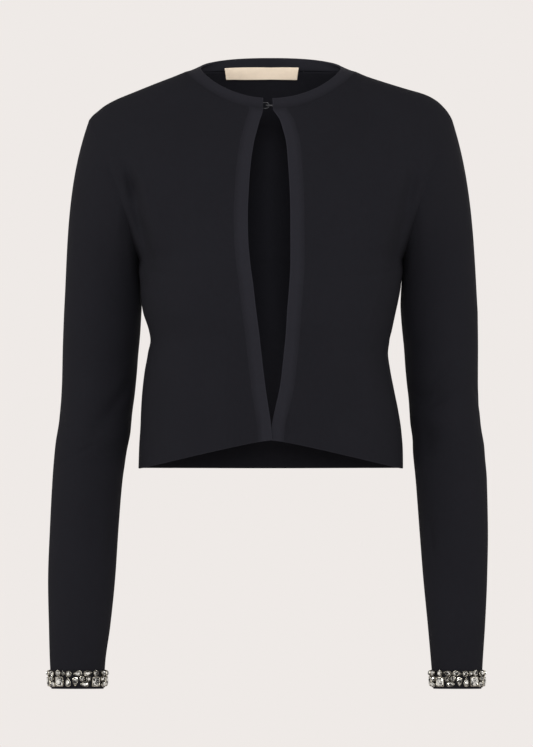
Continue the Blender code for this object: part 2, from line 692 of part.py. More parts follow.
def finish(name, mesh, material):
    """Turn the faces outwards, shade the mesh and put it in the scene."""
    work = bmesh.new()
    work.from_mesh(mesh)
    bmesh.ops.recalc_face_normals(work, faces=work.faces)
    work.to_mesh(mesh)
    work.free()
    mesh.shade_smooth()
    mesh.set_sharp_from_angle(angle=pi / 5)
    mesh.materials.append(material)
    piece = bpy.data.objects.new(name, mesh)
    bpy.context.collection.objects.link(piece)
    return piece


def material(name, colour, roughness, metallic=0.0):
    made = bpy.data.materials.new(name)
    made.use_nodes = True
    shader = made.node_tree.nodes["Principled BSDF"]
    shader.inputs["Base Color"].default_value = (*colour, 1)
    shader.inputs["Roughness"].default_value = roughness
    shader.inputs["Metallic"].default_value = metallic
    return made


def build_cloth(jersey, rib):
    """The back, fronts, sleeves and bands, each with its seam gaps and thickness."""
    skins = {
        "back": back_skin(),
        "front_left": front_skin(WEARER_LEFT),
        "front_right": front_skin(WEARER_RIGHT),
        "front_band_left": front_band_skin(WEARER_LEFT),
        "front_band_right": front_band_skin(WEARER_RIGHT),
        "neck_band": neck_band_skin(),
    }
    facing = {"back": -1, "front_left": 1, "front_right": -1, "front_band_left": 1,
              "front_band_right": -1, "neck_band": -1}
    normals = {name: skin_normals(skins[name], facing[name]) for name in skins}
    share_normals(skins, normals)
    for name, hand in (("sleeve_left", WEARER_LEFT), ("sleeve_right", WEARER_RIGHT)):
        skins[name] = sleeve_skin(hand)
        normals[name] = skin_normals(skins[name], hand, closed=True)
    shifts = {name: np.zeros_like(skins[name]) for name in skins}
    low = slice(0, LOW_ROWS + 1)
    everywhere = slice(None)
    for name, edge, part in (
            ("back", "top", everywhere), ("back", "first", low), ("back", "last", low),
            ("front_left", "top", everywhere), ("front_left", "first", everywhere),
            ("front_left", "last", low),
            ("front_right", "top", everywhere), ("front_right", "first", everywhere),
            ("front_right", "last", low),
            ("front_band_left", "top", everywhere), ("front_band_left", "last", everywhere),
            ("front_band_right", "top", everywhere), ("front_band_right", "last", everywhere),
            ("neck_band", "bottom", everywhere)):
        edge_of(shifts[name], edge)[part] += pull_back(skins[name], normals[name], edge)[part]
    for hand in (WEARER_LEFT, WEARER_RIGHT):
        join_sleeve(skins, normals, shifts, hand)
    for name, points in skins.items():
        is_band = "band" in name
        outer = points + shifts[name]
        inner = outer - normals[name] * (BAND_CLOTH if is_band else CLOTH)
        wall(name, outer, inner, rib if is_band else jersey, closed=name.startswith("sleeve"))
    return skins


def along_row(row, x):
    """Points at x on the straight steps between a row's points."""
    order = np.argsort(row[:, 0])
    return np.stack([x] + [np.interp(x, row[order, 0], row[order, k]) for k in (1, 2)], axis=-1)


def build_label(back, band, cloth):
    """A blank strip against the inside of the back, made from the points of the back and of
    the neck band, on which its top edge lies."""
    ends = LABEL_MIDDLE - LABEL_WIDTH / 2, LABEL_MIDDLE + LABEL_WIDTH / 2
    kinks = back[-1, :, 0]
    kinks = kinks[(kinks > ends[0]) & (kinks < ends[1])]
    x = np.union1d(np.linspace(*ends, LABEL_COLUMNS + 1), kinks)
    behind = band[:, np.where(band[0, :, 1] > 0)[0]]
    seam, under, edge = along_row(back[-1], x), along_row(back[-2], x), along_row(behind[1], x)
    down = ((seam[:, 2] - LABEL_LOW) / (seam[:, 2] - under[:, 2]))[:, None]
    skin = np.stack([seam + (under - seam) * down, seam, seam + (edge - seam) * LABEL_ON_BAND])
    normals = skin_normals(skin, -1)
    back_face = skin - normals * (BAND_CLOTH + LABEL_CLEAR)
    wall("label", back_face, back_face - normals * LABEL_CLOTH, cloth)


def cuff_point(hand, share, up, out):
    """A point beside the cuff: share of the way round, mm above the strip's lower edge, and
    mm outside the sleeve."""
    angle = 2 * pi * np.asarray(share, float)
    z = tilted(angle, CUFF + STRIP_ABOVE_CUFF + np.asarray(up, float))
    step = 1e-3
    here = sleeve_ring(hand, angle, z)
    along = sleeve_ring(hand, angle + step, z) - sleeve_ring(hand, angle - step, z)
    rise = sleeve_ring(hand, angle, z + step) - sleeve_ring(hand, angle, z - step)
    outward = unit(-hand * np.cross(along, rise))
    return here + outward * np.asarray(out, float)[..., None]


def stone_outline(sides, length, breadth, angle):
    """Corners of a stone seen from outside, across and up: a square of four sides, a drop of
    five whose point lies along its turn, or a round one of six."""
    corner = np.arange(sides) * 2 * pi / sides
    if sides == 4:
        flat = np.stack([np.cos(corner), np.sin(corner)], axis=-1) / np.sqrt(2)
    elif sides == 5:
        flat = np.array([(0.5, 0), (0.02, 0.5), (-0.42, 0.36), (-0.42, -0.36), (0.02, -0.5)])
    else:
        flat = np.stack([np.cos(corner), np.sin(corner)], axis=-1) / 2
    turned = np.array([[np.cos(angle), np.sin(angle)], [-np.sin(angle), np.cos(angle)]])
    return flat * (length, breadth) @ turned


def build_cuff(hand, tape, crystal):
    """A strip of stones round a cuff: a closed tape, with every stone a low, flat-topped
    pyramid that is joined to it."""
    name = "cuff_stones_" + ("left" if hand > 0 else "right")
    share = np.arange(STRIP_COLUMNS)[None, :] / STRIP_COLUMNS
    up = np.array([0, STRIP_HEIGHT])[:, None]
    inner = cuff_point(hand, share, up, np.full((2, STRIP_COLUMNS), SEAM_GAP))
    outer = cuff_point(hand, share, up, np.full((2, STRIP_COLUMNS), SEAM_GAP + STRIP_CLOTH))
    strip = wall(name, outer, inner, tape, closed=True)
    strip.data.materials.append(crystal)
    girth = np.linalg.norm(outer[0] - np.roll(outer[0], 1, axis=0), axis=1).sum()
    vertices, faces = [], []
    for repeat in range(STRIP_REPEATS):
        for row in range(len(STONES["along"])):
            sides = int(STONES["sides"][row])
            outline = stone_outline(sides, STONES["length"][row], STONES["breadth"][row],
                                    np.radians(STONES["turn"][row]))
            middle = (repeat + STONES["along"][row]) / STRIP_REPEATS
            foot = len(vertices)
            for spread, out in ((1.0, STONE_FOOT), (STONE_TABLE, STRIP_CLOTH + STONE_RISE)):
                ring = cuff_point(hand, middle + outline[:, 0] * spread / girth,
                                  STONES["up"][row] + outline[:, 1] * spread,
                                  np.full(sides, SEAM_GAP + out))
                vertices.extend((ring * MM).tolist())
            for corner in range(sides):
                after = (corner + 1) % sides
                faces.append((foot + corner, foot + after,
                              foot + sides + after, foot + sides + corner))
            faces.append(tuple(foot + corner for corner in reversed(range(sides))))
            faces.append(tuple(foot + sides + corner for corner in range(sides)))
    mesh = bpy.data.meshes.new(name + "_stones")
    mesh.from_pydata(vertices, [], faces)
    stones = finish(name + "_stones", mesh, crystal)
    stones.hide_render = True
    stones.display_type = "WIRE"
    joined = strip.modifiers.new("stones", "BOOLEAN")
    joined.operation = "UNION"
    joined.object = stones
    joined.material_mode = "TRANSFER"


def bent_wire(name, path, section, upright, steel):
    """A wire of the given section carried along a path that lies in one plane; upright is that
    plane's normal, along which the section's second column is measured."""
    ahead = unit(np.gradient(path, axis=0))
    aside = unit(np.cross(ahead, upright))
    rings = path[:, None] + section[None, :, :1] * aside[:, None] + section[None, :, 1:] * upright
    count = len(section)
    faces = [(row * count + k, row * count + (k + 1) % count,
              (row + 1) * count + (k + 1) % count, (row + 1) * count + k)
             for row in range(len(path) - 1) for k in range(count)]
    faces.append(tuple(reversed(range(count))))
    faces.append(tuple((len(path) - 1) * count + k for k in range(count)))
    mesh = bpy.data.meshes.new(name)
    mesh.from_pydata((rings.reshape(-1, 3) * MM).tolist(), [], faces)
    return finish(name, mesh, steel)


def build_fastener(steel):
    """Hook and eye, fastened. Both are sewn behind the neck band's ends. The eye is a loop of
    round wire that reaches past its edge, and the hook a flat wire bent back through it."""
    edge = torso(opening(np.array(FASTENER_HEIGHT), WEARER_LEFT), FASTENER_HEIGHT, FRONT)
    place = (0, edge[1] + BAND_CLOTH + FASTENER_CLEAR, FASTENER_HEIGHT)
    turns = np.linspace(-pi / 2, pi / 2, LOOP_STEPS)
    loop = np.stack([EYE_TIP - EYE_LOOP + EYE_LOOP * np.cos(turns), np.zeros(LOOP_STEPS),
                     EYE_LOOP * np.sin(turns)], axis=-1)
    eye_path = np.concatenate([[[EYE_ROOT, 0, -EYE_LOOP]], loop, [[EYE_ROOT, 0, EYE_LOOP]]])
    ring = np.arange(6) * pi / 3
    round_wire = EYE_WIRE * np.stack([np.cos(ring), np.sin(ring)], axis=-1)
    bent_wire("eye", eye_path + place, round_wire, (0.0, 1.0, 0.0), steel)
    bend = np.linspace(pi / 2, 3 * pi / 2, CURL_STEPS)
    curl = np.stack([HOOK_TIP + HOOK_MOUTH * np.cos(bend), HOOK_MOUTH * np.sin(bend),
                     np.zeros(CURL_STEPS)], axis=-1)
    hook_path = np.concatenate([[[HOOK_ROOT, HOOK_MOUTH, 0]], curl, [[HOOK_END, -HOOK_MOUTH, 0]]])
    across, along = HOOK_WIRE / 2, HOOK_WIDTH / 2
    flat_wire = np.array([(-across, -along), (across, -along), (across, along), (-across, along)])
    bent_wire("hook", hook_path + place, flat_wire, (0.0, 0.0, 1.0), steel)


def main():
    for old in list(bpy.data.objects):
        bpy.data.objects.remove(old)
    jersey = material("black_jersey", (0.018, 0.018, 0.022), 0.92)
    rib = material("black_rib", (0.022, 0.022, 0.026), 0.9)
    tape = material("black_tape", (0.01, 0.01, 0.012), 0.8)
    crystal = material("crystal", (0.78, 0.79, 0.8), 0.08, 0.6)
    cream = material("cream_satin", (0.86, 0.78, 0.62), 0.5)
    steel = material("nickel_wire", (0.62, 0.62, 0.64), 0.28, 1.0)
    skins = build_cloth(jersey, rib)
    build_label(skins["back"], skins["neck_band"], cream)
    for hand in (WEARER_LEFT, WEARER_RIGHT):
        build_cuff(hand, tape, crystal)
    build_fastener(steel)


main()
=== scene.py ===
"""Looks of a cropped knit cardigan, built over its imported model.

Every cloth piece is a thin, closed shell. Its outer skin is a function of two parameters, worked
out from the tables below, and its edges are half round. +Z is up, the front faces -Y and the
wearer's left is +X. Tables and formulas are in millimetres, and the meshes are in metres.
"""

import bpy
import numpy as np
from bpy.props import FloatProperty, FloatVectorProperty, PointerProperty
from bpy.types import Operator, Panel, PropertyGroup
from math import pi
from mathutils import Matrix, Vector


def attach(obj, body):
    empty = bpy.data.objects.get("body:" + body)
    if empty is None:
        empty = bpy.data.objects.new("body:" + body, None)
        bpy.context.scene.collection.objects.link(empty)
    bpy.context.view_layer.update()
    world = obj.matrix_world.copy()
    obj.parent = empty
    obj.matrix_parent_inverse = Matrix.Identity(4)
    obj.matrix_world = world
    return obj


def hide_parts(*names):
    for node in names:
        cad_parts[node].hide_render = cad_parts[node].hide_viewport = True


bl_info = {
    "name": "Knit cardigan",
    "version": (1, 0, 0),
    "blender": (4, 5, 0),
    "location": "3D View > Sidebar > Cardigan",
    "description": "Dresses the packed model of a cropped knit cardigan",
    "category": "Object",
}

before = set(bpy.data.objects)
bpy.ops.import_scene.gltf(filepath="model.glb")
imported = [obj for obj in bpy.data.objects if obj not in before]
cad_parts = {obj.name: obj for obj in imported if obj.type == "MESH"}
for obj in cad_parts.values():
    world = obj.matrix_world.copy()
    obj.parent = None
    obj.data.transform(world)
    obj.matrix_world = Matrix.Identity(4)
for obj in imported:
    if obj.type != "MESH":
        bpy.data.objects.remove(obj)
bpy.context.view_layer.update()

MM = 0.001
WEARER_LEFT, WEARER_RIGHT = 1, -1
FRONT, BACK = -1, 1
SIDE_NAMES = {WEARER_LEFT: "left", WEARER_RIGHT: "right"}
EDGES = ("first_row", "last_row", "first_column", "last_column")
FAR_FROM_EDGE = 50.0
NEAR_EDGE, CLEAR_OF_EDGE = np.array([0.13, 0.5, 1.0]), 1.4

# Driving sizes, as in the model.
FRONT_BAND = 14.5
NECK_INSIDE, NECK_SEAM, SHOULDER_TIP = 75.0, 91.0, 194.5
NECK_FRONT, NECK_BACK = 56.5, 50.5
NECK_DROP, NECK_SEAM_DROP = 37.3, 44.7
NECK_SEAM_END, NECK_EDGE_END = -49.0, -37.0
NECK_RISE, NECK_SEAM_RISE = 16.0, 6.1
HEM_SIDE, HEM_FRONT, HEM_BACK_DIP = -428.0, -395.5, 3.2
UNDERARM, FRONT_TURN, BICEPS, CUFF = -207.0, -235.0, -261.0, -661.4
TILT_START, CUFF_TILT = -441.0, 2.6
SECTION_POWER = 2.4
FRONT_ARCH, BACK_ARCH = 110.0, 70.0
NECK_PART = 7 / 15      # how much of a front's columns end at the neckline
BACK_NECK_PART = 3 / 7  # and of the back's
LOW_PART = 11 / 21      # how much of the rows lie below the underarm
HEM_HALF_WIDTH, HEM_CURVE = 141.0, 1.15
NECK_SEAM_CURVE, NECK_FRONT_CURVE, NECK_BACK_CURVE = 0.9, 0.75, 0.45
ROW_CROWDING = 0.09     # how far rows draw together towards the shoulder
TOP_TURN = 1.5          # how gradually rows turn into the top edge
BAND_CORNER = 0.02      # share of a front band in which its rows turn into its ends
LAP_STEP, LAP_HALF_WIDTH, LAP_TOP, LAP_BLEND = 1.5, 26.0, -358.0, 9.0
SLEEVE_ARRIVE = 0.06    # how far the sleeve still leans out where it reaches the biceps ring

# The studio.
PALE = (0.863, 0.823, 0.799)
FLOOR_COLOUR = tuple(0.62 * part for part in PALE)   # the lamps bring it up to the backdrop
FLOOR_RADIUS, FLOOR_HEIGHT, FLOOR_CORNERS = 2.0, -1.0, 64
LIGHT_AIM = (0, 0, -0.3)
LIGHTS = (   # name, place and side in metres, power in watts
    ("front", (0.0, -3.3, 0.1), 0.7, 88), ("right", (-3.0, -0.3, 0.5), 1.0, 42),
    ("left", (3.0, -0.3, 0.5), 1.0, 26), ("behind", (0.6, 3.0, 1.4), 2.0, 25),
)
CAMERA_ACROSS, CAMERA_DISTANCE, CAMERA_HEIGHT = -0.0045, 3.2, -0.327
FRAME_HEIGHT, SENSOR_HEIGHT = 0.799, 24   # metres at the origin, and millimetres


def table(columns, *rows):
    """Named columns, each an array, from rows of numbers."""
    return dict(zip(columns.split(), np.array(rows, dtype=float).T))


TORSO = table(
    "height half_width middle front back side",
    (-430, 141.0, 0.0, 110, 97, -8), (-408, 140.5, 0.2, 110, 94.5, -8.6),
    (-387, 139.0, 0.0, 110, 91.5, -9.3), (-366, 136.9, -1.2, 110.4, 87.3, -10.1),
    (-345, 134.0, -2.6, 111, 83, -11), (-323, 130.5, -3.4, 112.5, 79, -11.6),
    (-306, 127.8, -3.0, 113.6, 76.6, -12), (-293, 127.1, -0.9, 114.8, 76.2, -12),
    (-281, 129.3, -0.4, 116.2, 77, -12), (-262, 134.4, -1.4, 118, 79, -11),
    (-248, 137.1, -1.0, 119, 82, -9.5), (-235, 138.8, -0.3, 120, 85, -8),
    (-207, 140.5, 0.0, 118, 92, -5), (-202, 142.8, 0.0, 118, 93, -4),
    (-190, 149.9, 0.0, 117, 94, -3), (-170, 163.4, 0.0, 113, 95, -1),
    (-148, 180.0, 0.0, 106, 95, 0), (-122, 194.0, 0.0, 97, 92, 1),
    (-95, 210.0, 0.0, 86, 85, 2), (-56, 228.0, 0.0, 66, 75, 3),
    (-37, 232.0, 0.0, 58, 68, 2), (0, 235.0, 0.0, 53, 56, 0), (16, 235.0, 0.0, 51, 53, 0),
)

# The line where front and back meet over the shoulder; inside the neck it is only a guide.
SHOULDER = table(
    "across left_height right_height",
    (0, 62.0, 62.0), (24, 43.5, 43.5), (45, 26.4, 26.4), (64, 11.6, 11.6), (72, 6.0, 6.0),
    (79, 1.6, 1.6), (85, -1.8, -1.8), (91, -4.3, -4.3), (102, -9.0, -8.8), (124, -16.2, -17.2),
    (145, -22.6, -25.6), (165, -28.5, -33.8), (177, -34.8, -40.2), (186, -43.0, -47.2),
    (191, -49.5, -51.5), (194.5, -56.0, -56.0),
)

ARMHOLE = table(
    "height front back",
    (-207, 140.5, 140.5), (-202, 142.0, 142.2), (-190, 145.0, 147.0), (-170, 150.0, 153.0),
    (-148, 156.5, 160.0), (-122, 166.0, 168.5), (-95, 177.5, 179.0), (-74, 187.0, 188.0),
    (-56, 194.5, 194.5),
)

OPENING = table(
    "height wearer_right wearer_left",
    (-399, 1.6, -1.4), (-378, 0.0, 1.2), (-362, -2.4, 4.6), (-338, -5.9, 9.7),
    (-312, -9.0, 12.7), (-287, -11.8, 15.2), (-261, -15.2, 16.8), (-235, -18.2, 18.9),
    (-212, -21.3, 20.1), (-186, -23.4, 20.1), (-161, -23.8, 20.1), (-136, -22.8, 19.5),
    (-110, -21.0, 18.0), (-85, -17.5, 16.0), (-72, -14.4, 12.9), (-60, -11.2, 9.2),
    (-54, -9.2, 5.6), (-48, -8.2, 2.2), (-37, -8.0, 1.6),
)

SLEEVE = table(
    "height left_inner left_outer right_inner right_outer middle half_depth",
    (-661.4, 172.3, 223.4, 177.2, 232.6, -27, 27.0), (-632, 170.0, 225.0, 175.4, 234.4, -25, 28.0),
    (-595, 166.9, 227.7, 170.4, 235.7, -21, 30.0), (-544, 162.3, 230.5, 165.5, 237.1, -14, 33.0),
    (-492, 158.6, 231.9, 162.4, 235.7, -6, 36.0), (-441, 155.1, 231.4, 158.5, 233.6, 2, 38.0),
    (-404, 151.6, 227.9, 152.8, 230.9, 8, 40.0), (-376, 149.4, 224.8, 148.8, 226.8, 11, 42.0),
    (-338, 146.2, 222.6, 144.8, 224.2, 14, 44.0), (-300, 142.6, 222.8, 141.1, 223.4, 15, 46.0),
    (-261, 139.7, 222.4, 138.8, 222.0, 15, 47.5),
)

# How the sleeve leaves the armhole; angle 0 is the shoulder, 90 the front, 180 the underarm.
SLEEVE_START = table(
    "angle left_out right_out back down",
    (0, 0.31, 0.35, 0.02, 0.97), (45, 0.43, 0.455, -0.07, 0.88), (90, 0.46, 0.46, -0.06, 0.8),
    (135, 0.3, 0.3, 0.02, 0.87), (180, 0.03, 0.03, 0.24, 1.0), (225, 0.3, 0.3, 0.1, 0.87),
    (270, 0.46, 0.46, 0.06, 0.8), (315, 0.43, 0.455, 0.07, 0.88), (360, 0.31, 0.35, 0.02, 0.97),
)

# Folds of the fronts (side -1) and back (side 1): upright humps, or troughs where rise is
# negative. lean is how far a fold moves across for each mm down.
FOLDS = table(
    "side across height half_width half_length lean rise",
    (-1, -143, -160, 9, 44, 0.20, -5.4), (-1, -122, -198, 10, 44, -0.12, 2.6),
    (-1, -112, -255, 8, 40, 0.00, -1.6), (-1, 143, -158, 9, 44, -0.20, -4.6),
    (-1, 121, -205, 10, 46, 0.10, 2.4), (-1, 85, -335, 11, 82, 0.02, -3.0),
    (-1, 62, -330, 12, 74, 0.04, 2.0), (-1, 106, -330, 10, 66, 0.00, 2.2),
    (-1, -70, -352, 15, 62, 0.04, -1.8), (-1, -46, -345, 14, 70, 0.02, 1.6),
    (1, -146, -150, 9, 42, 0.10, -3.4), (1, 146, -150, 9, 42, -0.10, -3.4),
    (1, -92, -318, 13, 70, -0.05, -3.2), (1, -66, -330, 14, 80, -0.03, 2.4),
    (1, 24, -300, 16, 84, 0.02, -2.2), (1, 88, -322, 13, 68, 0.06, -3.4),
    (1, 62, -336, 14, 76, 0.04, 2.2),
)

SLEEVE_FOLDS = table(
    "hand angle height half_angle half_length lean rise",
    (1, 128, -352, 40, 10, 0.3, -3.2), (1, 120, -376, 42, 10, 0.3, 2.2),
    (1, 140, -398, 44, 11, -0.4, -2.8), (1, 40, -404, 46, 12, 0.0, 1.6),
    (1, 250, -372, 50, 12, 0.2, -2.2), (1, 150, -300, 34, 16, 0.0, -1.8),
    (-1, 130, -366, 42, 11, 0.3, -2.6), (-1, 136, -392, 42, 11, -0.3, 1.8),
    (-1, 128, -412, 44, 11, -0.3, -2.4), (-1, 250, -386, 50, 12, 0.2, -2.2),
    (-1, 146, -306, 34, 16, 0.0, -1.6),
)

# What the model leaves out: a little fullness at the sides under the arm, and finer creases, in
# the same terms as the folds.
SWELL, SWELL_HEIGHT, SWELL_REACH, SWELL_POWER = 1.3, -219.0, 8.0, 9
CREASES = table(
    "side across height half_width half_length lean rise",
    (-1, -112, -241, 2.4, 28, 0.05, 0.7), (-1, 109, -252, 2.6, 24, -0.28, 0.9),
    (-1, 16.3, -380, 1.8, 16, -0.10, -1.2), (-1, -11.5, -384, 1.8, 13, 0.00, -1.0),
    (-1, -128, -152, 3.5, 30, 0.22, 0.9), (-1, 133, -148, 3.5, 28, -0.22, 0.7),
    (-1, 126, -285, 3.0, 16, -0.30, 0.8), (-1, -122, -300, 3.0, 18, 0.25, 0.7),
    (-1, -145, -130, 6, 19, 0.25, -11), (-1, -134, -182, 6, 30, 0.25, -14),
    (-1, 146, -132, 6.5, 22, -0.25, -6), (-1, 135, -186, 6.5, 30, -0.25, -8),
    (1, -100, -288, 3.0, 22, 0.30, 0.9), (1, -40, -250, 3.5, 34, 0.08, -0.8),
    (1, 46, -268, 3.0, 28, -0.12, 0.8), (1, 112, -292, 3.0, 20, -0.30, 0.9),
    (1, 12, -396, 3.0, 20, 0.05, -0.9), (1, -124, -196, 4.0, 26, 0.20, 0.9),
    (1, 122, -188, 4.0, 28, -0.22, 0.9),
)

SLEEVE_CREASES = table(
    "hand angle height half_angle half_length lean rise",
    (1, 92, -326, 6, 11, 1.75, -1.3), (1, 94, -353, 7, 9, 2.80, -1.6),
    (1, 128, -390, 18, 24, 0.00, -2.2), (1, 93, -467, 9, 8, 5.20, -0.8),
    (1, 137, -500, 10, 26, 0.00, -1.9), (1, 20, -350, 9, 14, -1.20, -1.1),
    (1, 262, -360, 8, 12, -2.20, -1.5), (1, 235, -398, 12, 12, 1.40, -1.3),
    (1, 300, -470, 9, 20, 0.90, -0.9), (-1, 124, -361, 15, 36, -0.97, -2.3),
    (-1, 146, -506, 11, 22, 0.00, -1.9), (-1, 84, -408, 9, 9, -2.40, -1.0),
    (-1, 30, -378, 9, 14, 1.00, -1.0), (-1, 258, -374, 8, 12, 2.30, -1.5),
    (-1, 232, -410, 12, 12, -1.30, -1.3), (-1, 305, -480, 9, 20, -0.80, -0.9),
)

# One repeat of the stones on a cuff.
SEAM_GAP = 0.36
STRIP_HEIGHT, STRIP_CLOTH, STRIP_ABOVE_CUFF, STRIP_REPEATS = 18.5, 1.0, 1.6, 3
STONES = table(
    "along up length breadth sides turn",
    (0.102, 6.3, 10.4, 10.4, 4, 45), (0.095, 15.2, 6.4, 6.4, 6, 0), (0.286, 3.6, 9.6, 5.6, 5, 180),
    (0.280, 9.5, 9.6, 5.6, 5, 0), (0.271, 15.3, 9.6, 5.6, 5, 165), (0.461, 6.5, 10.4, 10.4, 4, 45),
    (0.441, 15.3, 6.6, 6.6, 6, 0), (0.539, 15.0, 4.2, 4.2, 6, 0), (0.620, 5.9, 10.0, 6.0, 5, 90),
    (0.634, 14.6, 6.2, 6.2, 6, 0), (0.742, 6.3, 9.8, 6.0, 5, 270), (0.780, 14.9, 9.6, 5.8, 5, 185),
    (0.892, 3.7, 9.6, 5.6, 5, 180), (0.854, 9.5, 5.8, 5.8, 6, 0), (0.947, 15.3, 9.6, 5.6, 5, 12),
    (0.958, 9.3, 5.4, 5.4, 6, 0),
)

SQUARE_DRAW, SQUARE_POWER, DROP_WIDEST = 0.2, 8, 0.77

# Rings of a stone's cup, of its crystal and of a claw's side: spread, height over the tape, and
# turn in steps between corners.
CUP_RINGS = ((0.96, -0.5, 0), (1.0, 0.2, 0), (1.0, 1.3, 0), (0.97, 1.75, 0), (0.9, 1.8, 0),
             (0.85, 1.5, 0), (0.85, 0.9, 0))
CRYSTAL_RINGS = ((0.86, 1.0, 0), (0.88, 1.5, 0), (0.7, 2.6, 0.5), (0.46, 3.3, 0))
CLAW_RINGS = ((1.02, 0.2, 0.25), (1.02, 1.9, 0.2), (0.82, 2.55, 0.15), (0.8, 2.1, 0.15),
              (0.94, 1.6, 0.2))
CUP_CORNERS, CRYSTAL_CORNERS, TAPE_COLUMNS = 16, 8, 96
CLAW_EVERY, CLAW_FIRST = 4, 2

# The blank label behind the neck, and the hook and eye.
LABEL_MIDDLE, LABEL_WIDTH, LABEL_LOW, LABEL_ON_BAND = -10.0, 81.0, -6.3, 0.32
LABEL_CLEAR, LABEL_CLOTH, LABEL_TURN, LABEL_TURN_RISE = 0.6, 0.7, 5.0, 0.35
LABEL_LOW_WIDTH, LABEL_WIDENING = 0.975, 0.055   # shares of the width, from its lower edge up
LABEL_STITCH_ENDS, LABEL_STITCH_ROWS = (0.012, 0.988), (0.06, 0.14, 0.22, 0.78, 0.86, 0.94)
LABEL_STITCH = np.array([(-1.2, -0.1, 0.2), (-0.5, -0.35, 0.1), (0.4, -0.3, 0), (1.3, 0.6, -0.1)])
LABEL_THREAD, FASTENER_THREAD = 0.34, 0.26
FASTENER_HEIGHT, FASTENER_CLEAR = -45.2, 1.7
EYE_LOOP, EYE_TIP, EYE_ROOT, EYE_WIRE, EYE_FOOT = 3.0, -1.6, -13.0, 0.65, 1.1
HOOK_MOUTH, HOOK_TIP, HOOK_END, HOOK_ROOT = 1.2, -4.4, 0.6, 7.5
HOOK_WIRE, HOOK_FOOT, HOOK_PAIR = 0.65, 1.1, 0.56
TACK_TURNS, TACK_PITCH, TACK_DEPTH, TACK_HEIGHT = 5, 0.24, 0.95, 0.75
TACKS = ((EYE_ROOT + 0.6, -0.5, EYE_LOOP - 0.4), (EYE_ROOT + 0.6, -0.5, 0.4 - EYE_LOOP),
         (HOOK_ROOT - 0.6, HOOK_MOUTH - 0.5, 1.5), (HOOK_ROOT - 0.6, HOOK_MOUTH - 0.5, -1.5))
BAND_CLOTH = 2.2
BAND_REST = BAND_CLOTH + LABEL_CLEAR + LABEL_CLOTH   # from the back's skin to the label's face

# The cloth pieces: the record's slot, the width and length that each was cut to, how it is held,
# a point outside its middle (across on the wearer's left), and its free edges.
CLOTH = {
    "back": ("jersey", (450, 450), "hung", (0, 1000, -200), ("first_row",)),
    "front": ("jersey", (230, 450), "hung", (300, -1000, -200), ("first_row",)),
    "sleeve": ("jersey", (300, 620), "hung", None, ("last_row",)),
    "front_band": ("rib", (FRONT_BAND + 1.5, 375), "hung", (0, -1000, -200),
                   ("first_row", "first_column")),
    "neck_band": ("rib", (20, 450), "hung", (0, 300, 400),
                  ("last_row", "first_column", "last_column")),
    "cuff_tape": ("crystal", (196, STRIP_HEIGHT + 1), "stretched", None,
                  ("first_row", "last_row")),
    "label": ("label", (LABEL_WIDTH, 15.5), "laid", (0, -1000, 0), EDGES),
}

# Finishes: their names, colours, reliefs in metres, widths on the cloth in mm, and shares, among
# them painted highlights and painted shade on the knit and painted reflections on the stones.
FINISHES = ("knit_face", "knit_purl", "band_knit", "stone", "setting", "tape", "satin", "steel",
            "thread", "dark_thread")
SETTING, TAPE = (0.36, 0.34, 0.29), (0.004, 0.004, 0.005)
PALE_THREAD, DARK_THREAD = (0.72, 0.68, 0.6), (0.012, 0.012, 0.014)
KNIT_RELIEF, FURROW, STITCH, PURL_WAVE, INSIDE_TONE = 0.00022, 0.7, 0.2, 0.22, 1.12
# SEAM_SINK dips the bump at seams; the last number is a painted highlight, how much lighter the
# knit's colour is painted along its seams.
SEAM_WIDTH, SEAM_SINK, SEAM_PAINTED_HIGHLIGHT = 1.1, 0.5, 0.12
# HEM_WIDTH and HEM_RISE raise the bump at free edges; the last two numbers are a painted
# highlight, a lighter colour painted within that width of a free edge.
HEM_WIDTH, HEM_RISE, HEM_PAINTED_HIGHLIGHT_WIDTH, HEM_PAINTED_HIGHLIGHT = 2.2, 0.8, 1.5, 0.5
# Painted light and shade on the bands: their colour is painted lighter up to this width in mm from
# their seams, so that a painted shade lies beside each seam.
BAND_PAINTED_LIGHT, BAND_PAINTED_LIGHT_WIDTH = 0.26, 6
SATIN_THREAD, SATIN_CROSS_THREAD, SATIN_RELIEF = 0.42, 0.3, 0.00006
# Stones: the size in metres of the cells of painted reflection, and the painted dark tone, a share
# of the stone's colour.
STONE_CELL, STONE_PAINTED_DARK = 0.0016, 0.01

# How finely the grids are cut: parts, and a length in mm that they are spread over.
BACK_ACROSS, FRONT_ACROSS, TORSO_UP = (140, 420), (80, 180), (150, 430)
SLEEVE_CAP, SLEEVE_DOWN, SLEEVE_AROUND = (48, 150), (170, 400), 128
BAND_ACROSS, BAND_UP, NECK_ROUND, NECK_UP = (10, FRONT_BAND), (150, 350), (220, 420), (10, 15)
TAPE_UP, LABEL_ACROSS, LABEL_UP = (8, STRIP_HEIGHT), (60, LABEL_WIDTH), (14, 14.0)


# ---------------------------------------------------------------- sizes and colours

class CardiganSizes(PropertyGroup):
    cloth: FloatProperty(name="Cloth", description="Thickness of the fine knit", default=0.0016,
                         unit="LENGTH")
    band_cloth: FloatProperty(name="Bands", description="Thickness of the double knit bands",
                              default=0.0022, unit="LENGTH")
    wale: FloatProperty(name="Wale", description="Width of one column of stitches",
                        default=0.00125, unit="LENGTH")
    course: FloatProperty(name="Course", description="Height of one row of stitches",
                          default=0.00095, unit="LENGTH")


class CardiganColours(PropertyGroup):
    knit: FloatVectorProperty(name="Knit", description="Colour of the body and sleeves",
                              default=(0.0071, 0.0071, 0.0093), subtype="COLOR")
    band: FloatVectorProperty(name="Bands", description="Colour of the bands",
                              default=(0.0086, 0.0086, 0.0112), subtype="COLOR")
    label: FloatVectorProperty(name="Label", description="Colour of the woven label",
                               default=(0.68, 0.575, 0.455), subtype="COLOR")
    stone: FloatVectorProperty(name="Stones", description="Colour of the stones",
                               default=(0.72, 0.72, 0.68), subtype="COLOR")
    wire: FloatVectorProperty(name="Wire", description="Colour of the hook and eye",
                              default=(0.035, 0.035, 0.038), subtype="COLOR")


# ---------------------------------------------------------------- curves and surfaces

